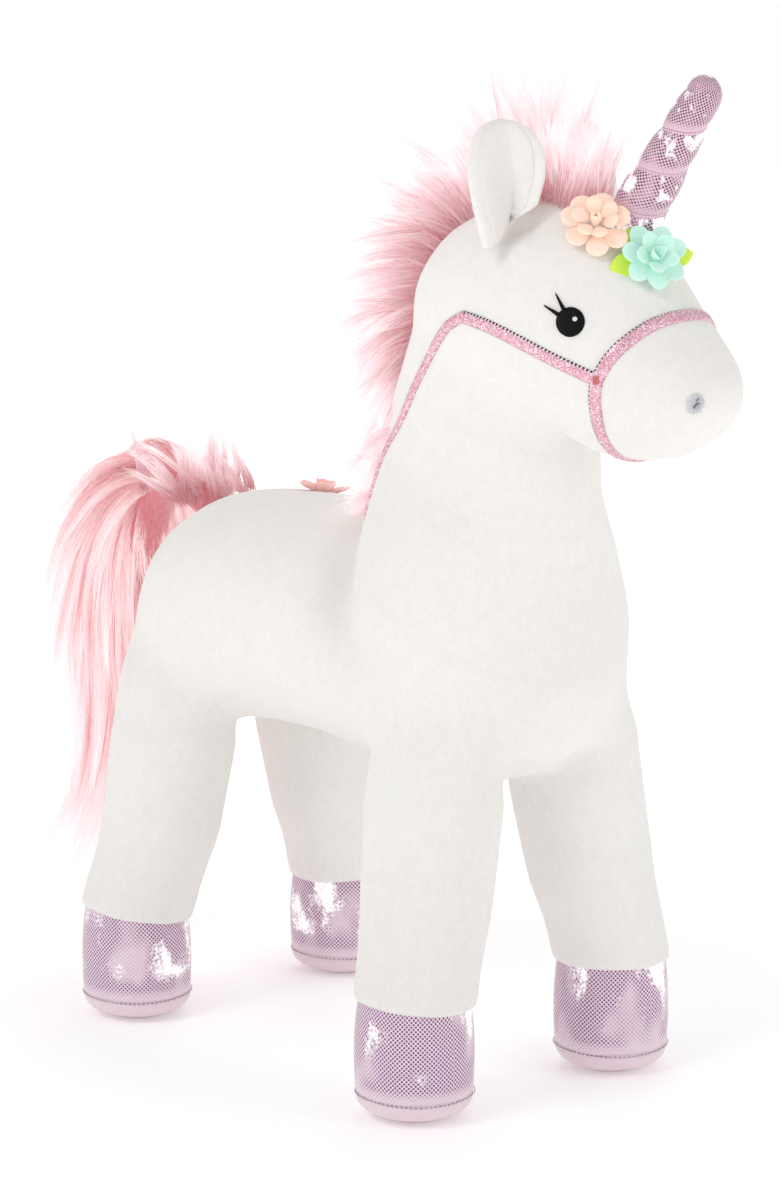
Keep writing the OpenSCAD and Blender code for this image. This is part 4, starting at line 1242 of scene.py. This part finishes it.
def smooth_line(values, times):
    for _ in range(times):
        values[1:-1] = (values[:-2] + 2 * values[1:-1] + values[2:]) / 4
    return values


def ribbon_path(tree, points):
    """Evenly spaced points on the skin along given ones, and the skin's direction at each."""
    rough = curve_through(points, 12)
    count = max(12, int(np.linalg.norm(np.diff(rough, axis=0), axis=1).sum() / (0.9 * MM)))
    found = [tree.find_nearest(Vector(p)) for p in curve_through(points, count)]
    on = smooth_line(np.array([f[0] for f in found]), 4)
    return on, unit_rows(smooth_line(np.array([f[1] for f in found]), 4))


def strip_faces(rows, k):
    """Faces of a closed strip whose upper points, rows x k of them, come before its lower ones."""
    below = rows * k
    edge = []
    for r in range(rows - 1):
        a, b = r * k, (r + 1) * k
        edge.append((a, a + below, b + below, b))
        edge.append((a + k - 1, b + k - 1, b + k - 1 + below, a + k - 1 + below))
    for c in range(k - 1):
        edge.append((c, c + 1, c + 1 + below, c + below))
        e = (rows - 1) * k + c
        edge.append((e, e + below, e + 1 + below, e + 1))
    return [grid_faces(rows, k), grid_faces(rows, k)[:, ::-1] + below, np.array(edge)]


def ribbon(name, tree, points, body, replaces=(), width=4.3 * MM, flip=False):
    """A ribbon laid on the skin along given points, crowned a little across its width."""
    on, normal = ribbon_path(tree, points)
    cross = np.cross(unit_rows(np.gradient(on, axis=0)), normal) * (1 if flip else -1)
    shares = np.linspace(-1, 1, 9)
    top, under = [], []
    for p, n, c in zip(on, normal, cross):
        for share in shares:
            q = p + c * (share * width / 2)
            place, _, _, far = tree.find_nearest(Vector(q))
            foot = np.array(place) if far < 2 * MM else q
            top.append(foot + n * (RIBBON_LIFT + RIBBON_CROWN * (1 - share ** 4)))
            under.append(foot - n * RIBBON_SUNK)
    mesh = fast_mesh(name, np.vstack([top, under]), strip_faces(len(on), len(shares)))
    length = np.concatenate([[0], np.cumsum(np.linalg.norm(np.diff(on, axis=0), axis=1))])
    u = np.repeat(length, len(shares))
    v = np.tile(shares * width / 2, len(on))
    uv = np.stack([u, v], axis=-1) / MM
    set_uv(mesh, np.vstack([uv, uv]))
    weld(mesh, 1e-6)
    return finish_piece(add_object(name, mesh), "ribbon", body, replaces)


def mirrored(points):
    """Points from one side round to the other: the last one is on the middle line."""
    return points + [(x, -y, z) for x, y, z in reversed(points[:-1])]


def make_bridle(tree):
    """The noseband over and under the muzzle, and on each side a cheek strap and a rein."""
    over = [in_head(*p) for p in mirrored([STRAP_KNOT] + NOSEBAND_OVER)]
    ribbon("noseband_over", tree, over, "head", ["noseband"])
    under = [in_head(*p) for p in mirrored([STRAP_KNOT] + NOSEBAND_UNDER)]
    ribbon("noseband_under", tree, under, "head", flip=True)
    for side, sign in SIDES.items():
        cheek = [in_head(x, -sign * y, z) for x, y, z in [STRAP_KNOT] + CHEEK_STRAP]
        ribbon("cheek_strap_ribbon_" + side, tree, cheek, "head", ["cheek_strap_" + side], flip=sign < 0)
        corner = [in_head(x, -sign * y, z) for x, y, z in REIN_CORNER]
        neck = [Vector((x, -sign * y, z)) * MM for x, y, z in REIN_NECK]
        bend_head(ribbon("rein_upper_" + side, tree, corner + neck, None, flip=sign < 0, width=3.6 * MM))
        withers = [Vector((x, -sign * y, z)) * MM for x, y, z in REIN_WITHERS]
        bend_neck(ribbon("rein_lower_" + side, tree, withers, None, ["rein_" + side], flip=sign < 0,
                         width=3.4 * MM))
        x, y, z = STRAP_KNOT
        make_tack(tree, side, in_head(x, -sign * y, z))


def make_tack(tree, side, point):
    """The few stitches that hold the cheek strap to the noseband."""
    place, normal, up, along_face = on_skin(tree, point)
    lines = []
    for k in range(4):
        at = place + along_face * (k - 1.5) * 0.5 * MM + normal * 1.05 * MM
        lines.append([at + up * t * MM for t in np.linspace(-1.3, 1.3, 7)])
    obj = thread_mesh("strap_tack_" + side, np.array(lines), 0.24 * MM, 8)
    finish_piece(obj, "tack", "head")


# ---------------------------------------------------------------- ears

def ear_axes(side):
    """Where an ear stands, and its directions: across it, out of its opening, and up."""
    sign = SIDES[side]
    up = Vector(head_direction(0.0, sign * 0.05, 1))
    opening = Vector(head_direction(0.72, sign * 0.69, 0))
    opening = (opening - up * opening.dot(up)).normalized()
    base = in_head(EAR_BASE[0], sign * EAR_BASE[1], EAR_BASE[2])
    return np.array(base), np.array(up.cross(opening) * -sign), np.array(opening), np.array(up)


def ear_surface(side, reach, inner, rows=34, sides=44):
    """Points of a padded leaf, folded forward down its middle. reach is how much of its width it covers."""
    base, wide, opening, up = ear_axes(side)
    t = np.linspace(0, 1, rows) ** 0.8
    turn = np.arange(sides) * 2 * np.pi / sides
    across = np.sign(np.cos(turn)) * np.abs(np.cos(turn)) ** 0.9 * reach
    low = np.clip((EAR_WAIST - t) / EAR_WAIST, 0, 1)
    high = np.clip((t - EAR_WAIST) / (1.0 - EAR_WAIST), 0, 1)
    half = EAR_HALF * (1 - 0.12 * low) * np.sqrt(np.maximum(1 - high ** 2.3, 0))
    thick = EAR_THICK / 2 * (1 - high ** 6) ** 0.5
    fold = EAR_FOLD_FOOT * (1 - t) ** 0.8 + EAR_FOLD_TIP * t
    foot = -EAR_DROP * np.clip(-across * 1.1, 0, 1) ** 1.2 - 3 * MM
    rings = []
    for r in range(rows):
        x, y = ear_section(across, turn, half[r], thick[r], fold[r], reach, inner)
        z = foot + t[r] * (EAR_TALL - foot)
        out = y - EAR_LEAN * t[r] ** 2
        rings.append(base + x[:, None] * wide + out[:, None] * opening + z[:, None] * up)
    return np.array(rings)


def ear_section(across, turn, half, thick, fold, reach, inner):
    """One level of an ear, seen from above: a padded strip bent round the ear's fold line."""
    fine = np.linspace(-1, 1, 241)
    angle = fold * np.tanh((fine - EAR_FOLD) / 0.24)
    step = half * (fine[1] - fine[0])
    a = np.cumsum(np.cos(angle)) * step
    b = np.cumsum(np.sin(angle)) * step
    a -= np.interp(0.0, fine, a)
    b -= b.min()
    if inner:
        lift = thick * (0.62 + 0.48 * np.sin(turn))
    else:
        puff = thick * np.sqrt(np.maximum(1 - (across / reach) ** 4, 0.0))
        lift = np.sin(turn) * thick
        lift = np.sign(lift) * np.minimum(np.abs(lift), puff + 0.02 * MM)
    lean = np.interp(across, fine, angle)
    return np.interp(across, fine, a) - np.sin(lean) * lift, np.interp(across, fine, b) + np.cos(lean) * lift


def closed_rings(name, points):
    """A closed mesh through rings of points, with its first and last rings capped."""
    rows, sides = points.shape[:2]
    caps = np.array([np.arange(sides)[::-1], (rows - 1) * sides + np.arange(sides)])
    mesh = fast_mesh(name, points.reshape(-1, 3), [tube_faces(rows, sides), caps])
    return add_object(name, mesh)


def make_ear(side):
    outer = closed_rings("ear_" + side, ear_surface(side, 1.0, False))
    lining = closed_rings("ear_hollow_" + side, ear_surface(side, 0.84, True))
    for obj in (outer, lining):
        weld(obj.data, 2e-5)
        subdivide(obj, 1)
        obj.data.shade_smooth()
    body = "ear_" + side
    finish_piece(outer, "white_pile", body, ["ear_%s_outer" % side])
    finish_piece(lining, "ear_lining", body, ["ear_%s_lining" % side])


# ---------------------------------------------------------------- felt

def petal(length, width, thick, bend, cup, widest, blunt, start, turn, tilt, rows=16, sides=12):
    """Rings of one thick felt petal that grows out from a flower's axis, curls up and cups across.

    Its lengths are in millimetres and its angles in radians. widest is where along it it is widest.
    """
    v = np.linspace(0, 1, rows)[:, None]
    peak = math.log(0.5) / math.log(widest)
    half = width / 2 * np.sin(np.pi * v ** peak) ** blunt + 0.04
    body = thick / 2 * np.minimum(1, 0.15 + 3.2 * np.minimum(v, 1 - v) ** 0.6)
    a = (np.arange(sides) * 2 * np.pi / sides)[None, :]
    across = half * np.sign(np.cos(a)) * np.abs(np.cos(a)) ** 0.85
    lift = body * np.sign(np.sin(a)) * np.abs(np.sin(a)) ** 0.7
    share = across / (width / 2)
    curl = tilt + bend * v
    step = length / (rows - 1)
    rise = cup * share ** 2 * width + lift
    x = start + np.cumsum(np.cos(curl), axis=0) * step - np.sin(curl) * rise
    y = across * (1 - 0.25 * abs(cup) * share ** 2)
    z = np.cumsum(np.sin(curl), axis=0) * step + np.cos(curl) * rise
    c, s = math.cos(turn), math.sin(turn)
    return np.stack([x * c - y * s, x * s + y * c, z], axis=-1) * MM


def flower_frame(place, direction, turn=0.0):
    """The frame of a flower: its axis leaves the toy along direction."""
    turned = Vector(direction).normalized().to_track_quat("Z", "Y").to_matrix().to_4x4()
    return Matrix.Translation(place) @ turned @ Matrix.Rotation(turn, 4, "Z")


def petals_object(name, frame_matrix, petals):
    """One object of many petals."""
    points, faces, caps, offset = [], [], [], 0
    for p in petals:
        rows, sides = p.shape[:2]
        points.append(p.reshape(-1, 3))
        faces.append(tube_faces(rows, sides, offset))
        ends = np.stack([np.arange(sides)[::-1], (rows - 1) * sides + np.arange(sides)])
        caps.append(ends + offset)
        offset += rows * sides
    points = np.vstack(points)
    matrix = np.array(frame_matrix)
    points = points @ matrix[:3, :3].T + matrix[:3, 3]
    obj = add_object(name, fast_mesh(name, points, [np.vstack(faces), np.vstack(caps)]))
    subdivide(obj, 1)
    obj.data.shade_smooth()
    return obj


def ring_of(count, seed, spread=0.08, **shape):
    """The same petal round a flower, each a little different."""
    rng = np.random.default_rng(seed)
    made = []
    for i in range(count):
        own = dict(shape)
        own["turn"] = 2 * math.pi * i / count + rng.uniform(-spread, spread) + shape.get("turn", 0)
        own["tilt"] = shape["tilt"] + rng.uniform(-spread, spread)
        own["length"] = shape["length"] * rng.uniform(0.94, 1.05)
        made.append(petal(**own))
    return made


def flower_on(tree, point, direction, lift, turn):
    """The frame of a flower sewn to the skin nearest a point of the head's own frame."""
    place, _, _, _ = tree.find_nearest(in_head(*point))
    out = head_direction(*direction)
    return flower_frame(place + out * lift * MM, out, turn)


def felt(name, base, rise, petals, look, body, node):
    """A piece of felt petals, rise millimetres up a flower's axis."""
    obj = petals_object(name, base @ Matrix.Translation((0, 0, rise * MM)), petals)
    finish_piece(obj, look, body, [node])


def make_flowers(tree):
    """The peach and mint flowers by the horn, and the leaves under them."""
    peach = flower_on(tree, (51, -16.5, 303), (0.45, -0.65, 0.55), 2.8, 0.3)
    heart = ring_of(**PEACH_INNER) + ring_of(**PEACH_BUD)
    felt("peach_petals", peach, 0, ring_of(**PEACH_OUTER), "felt_peach", "head", "peach_outer")
    felt("peach_heart", peach, 1.5, heart, "felt_peach", "head", "peach_inner")
    mint = flower_on(tree, (71.5, -4.6, 297.5), (0.76, -0.52, 0.38), 3.8, 0.25)
    heart = ring_of(**MINT_INNER) + ring_of(**MINT_BUD)
    felt("mint_petals", mint, 0, ring_of(**MINT_OUTER), "felt_mint", "head", "mint_outer")
    felt("mint_heart", mint, 1.3, heart, "felt_mint", "head", "mint_inner")
    leaves = [petal(length=long, turn=math.radians(degrees), **LEAF) for degrees, long in LEAVES]
    felt("leaves", mint, -1.0, leaves, "felt_lime", "head", "flower_leaves")


def make_back_flower(tree):
    """The small felt flower sewn to the back, just behind the withers and over to the far side."""
    place, normal, _, _ = tree.find_nearest(centre("back_flower") + Vector((-6, 12, 0)) * MM)
    base = flower_frame(place - normal * 0.2 * MM, normal, 0.2)
    petals = ring_of(**BACK_OUTER) + ring_of(**BACK_INNER)
    felt("back_petals", base, 0, petals, "felt_coral", "trunk", "back_flower")


# ---------------------------------------------------------------- face

def on_skin(tree, point):
    """The place on the skin nearest a point, and a frame there: out of the skin, up, and along."""
    place, normal, _, _ = tree.find_nearest(Vector(point))
    up = (Vector((0, 0, 1)) - normal * normal.z).normalized()
    return place, normal, up, up.cross(normal)


def patch(name, tree, point, rings, sides=48):
    """A round stitched patch on the skin: rings are radii and heights above the skin, in millimetres."""
    place, normal, up, side = on_skin(tree, point)
    points = []
    for radius, height in rings:
        for k in range(sides):
            a = 2 * math.pi * k / sides
            flat = place + (up * math.sin(a) + side * math.cos(a)) * radius * MM
            foot, _, _, _ = tree.find_nearest(flat)
            points.append(foot + normal * height * MM)
    return closed_rings(name, np.array(points).reshape(len(rings), sides, 3))


def lash(tree, start, end, width):
    """One satin-stitched lash: wide at the eye and pointed at its tip."""
    a, b = Vector(start), Vector(end)
    line = []
    for t in np.linspace(0, 1, 12):
        foot, normal, _, _ = tree.find_nearest(a.lerp(b, t))
        line.append(foot + normal * 0.25 * MM)
    taper = np.linspace(1.0, 0.25, 12) * np.array([0.7] + [1] * 10 + [0.6])
    return np.array(line), taper * width


def make_eye(tree, side, sign):
    """A satin-stitched eye with its glint and two lashes."""
    spot = in_head(EYE[0], sign * EYE[1], EYE[2])
    place, _, up, along_face = on_skin(tree, spot)
    forward = Vector(head_direction(1, 0, 0))
    toward_nose = along_face * (1 if along_face.dot(forward) > 0 else -1)
    eye = patch("eye_stitching_" + side, tree, spot, EYE_DOME)
    finish_piece(eye, "eye_thread", "head", ["eye_" + side])
    gleam = place + toward_nose * 1.75 * MM + up * 0.75 * MM
    glint = patch("eye_glint_" + side, tree, gleam, GLINT_DOME, sides=20)
    finish_piece(glint, "glint_thread", "head")
    lines, tapers = [], []
    for far_back, high in LASH_TIPS:
        tip = place - toward_nose * far_back * MM + up * high * MM
        root = place + (tip - place).normalized() * 4.0 * MM
        line, taper = lash(tree, root, tip, 0.78 * MM)
        lines.append(line)
        tapers.append(taper)
    both = thread_mesh("lash_stitching_" + side, np.array(lines), np.ones((2, 1)), 10, np.array(tapers))
    finish_piece(both, "eye_thread", "head", ["lashes_" + side])


def make_nostril(tree, side):
    """A round nostril of pale stitches laid out from its middle, with two short dark ones."""
    spot = in_head(*NOSTRIL[side])
    nostril = patch("nostril_stitching_" + side, tree, spot, NOSTRIL_DISH)
    finish_piece(nostril, "nostril_thread", "head", ["nostril_" + side])
    place, normal, up, along_face = on_skin(tree, spot)
    rays = []
    for k in range(22):
        a = 2 * math.pi * k / 22
        way = up * math.sin(a) + along_face * math.cos(a)
        reach = np.linspace(1.3, 3.3 + 0.2 * (k % 2), 7)
        rays.append([place + way * r * MM + normal * 0.6 * MM for r in reach])
    stitches = thread_mesh("nostril_rays_" + side, np.array(rays), 0.2 * MM, 6)
    finish_piece(stitches, "glint_thread", "head")
    marks = []
    for pair in NOSTRIL_MARKS:
        a, b = [place + along_face * x * MM + up * z * MM + normal * 0.65 * MM for x, z in pair]
        marks.append([a.lerp(b, t) for t in np.linspace(0, 1, 8)])
    mark = thread_mesh("nostril_mark_" + side, np.array(marks), 0.28 * MM, 8)
    finish_piece(mark, "nostril_mark", "head")


def make_face(tree):
    for side, sign in SIDES.items():
        make_eye(tree, side, sign)
        make_nostril(tree, side)


# ---------------------------------------------------------------- camera, lights, floor

def make_camera():
    """The camera at the photograph's angle, looking at a point of the toy from CAMERA_FAR away."""
    azimuth, elevation = (math.radians(a) for a in CAMERA_ANGLES)
    back = Vector((math.sin(azimuth) * math.cos(elevation), -math.cos(azimuth) * math.cos(elevation),
                   math.sin(elevation)))
    data = bpy.data.cameras.new("camera")
    data.lens = CAMERA_LENS
    camera = bpy.data.objects.new("camera", data)
    camera.location = Vector(CAMERA_TARGET) + back * CAMERA_FAR
    camera.rotation_mode = "QUATERNION"
    camera.rotation_quaternion = (-back).to_track_quat("-Z", "Y")
    bpy.context.scene.collection.objects.link(camera)
    bpy.context.scene.camera = camera


def area_light(name, at, target, size, power):
    data = bpy.data.lights.new(name, "AREA")
    data.shape = "RECTANGLE"
    data.size, data.size_y = size
    data.energy = power
    lamp = bpy.data.objects.new(name, data)
    lamp.location = at
    lamp.rotation_mode = "QUATERNION"
    lamp.rotation_quaternion = (Vector(target) - Vector(at)).to_track_quat("-Z", "Y")
    bpy.context.scene.collection.objects.link(lamp)


def make_floor():
    """A plain pale floor that brightens away from the toy."""
    mesh = bpy.data.meshes.new("floor")
    bm = bmesh.new()
    bmesh.ops.create_circle(bm, cap_ends=True, radius=12, segments=64)
    bm.to_mesh(mesh)
    bm.free()
    look = Look("floor", (0.95, 0.95, 0.95), 0.9, Specular_IOR_Level=0.1)
    look.base.inputs["Emission Color"].default_value = (1, 1, 1, 1)
    from_middle = look.add("VectorMath", {0: look.add("TexCoord").outputs["Object"]}, operation="LENGTH")
    glow = look.range(from_middle.outputs["Value"], 0.1, 0.9, 0.2, 0.6)
    look.put(glow, look.base.inputs["Emission Strength"])
    mesh.materials.append(look.material)
    add_object("floor", mesh)


def make_world():
    """Plain white light from all round, with a white backdrop behind the toy."""
    world = bpy.data.worlds.new("studio")
    bpy.context.scene.world = world
    world.use_nodes = True
    nodes, links = world.node_tree.nodes, world.node_tree.links
    lit = nodes["Background"]
    seen = nodes.new("ShaderNodeBackground")
    for node, strength in ((lit, 0.64), (seen, 1.0)):
        node.inputs["Color"].default_value = (1, 1, 1, 1)
        node.inputs["Strength"].default_value = strength
    path = nodes.new("ShaderNodeLightPath")
    mix = nodes.new("ShaderNodeMixShader")
    links.new(path.outputs["Is Camera Ray"], mix.inputs[0])
    links.new(lit.outputs[0], mix.inputs[1])
    links.new(seen.outputs[0], mix.inputs[2])
    links.new(mix.outputs[0], nodes["World Output"].inputs["Surface"])


def make_stage():
    make_floor()
    make_world()
    middle = (0.0, 0.0, 0.17)
    area_light("key", (0.1, -1.3, 1.25), middle, (0.7, 0.7), 5.8)
    area_light("side", (1.4, 0.5, 0.8), middle, (0.5, 1.0), 2.4)
    area_light("back", (-0.9, 0.9, 1.1), middle, (1.0, 1.0), 4)
    bpy.context.scene.view_settings.view_transform = "Standard"


# ---------------------------------------------------------------- build

def main():
    make_camera()
    make_stage()
    skin = make_skin()
    tree = surface_of(skin.data)
    attach_skin(split_skin(skin))
    for number, leg in enumerate(LEGS):
        make_hoof(leg, number)
    make_horn()
    for side in SIDES:
        make_ear(side)
    make_flowers(tree)
    make_back_flower(tree)
    make_face(tree)
    make_bridle(tree)
    make_mane(tree)
    make_tail()


main()
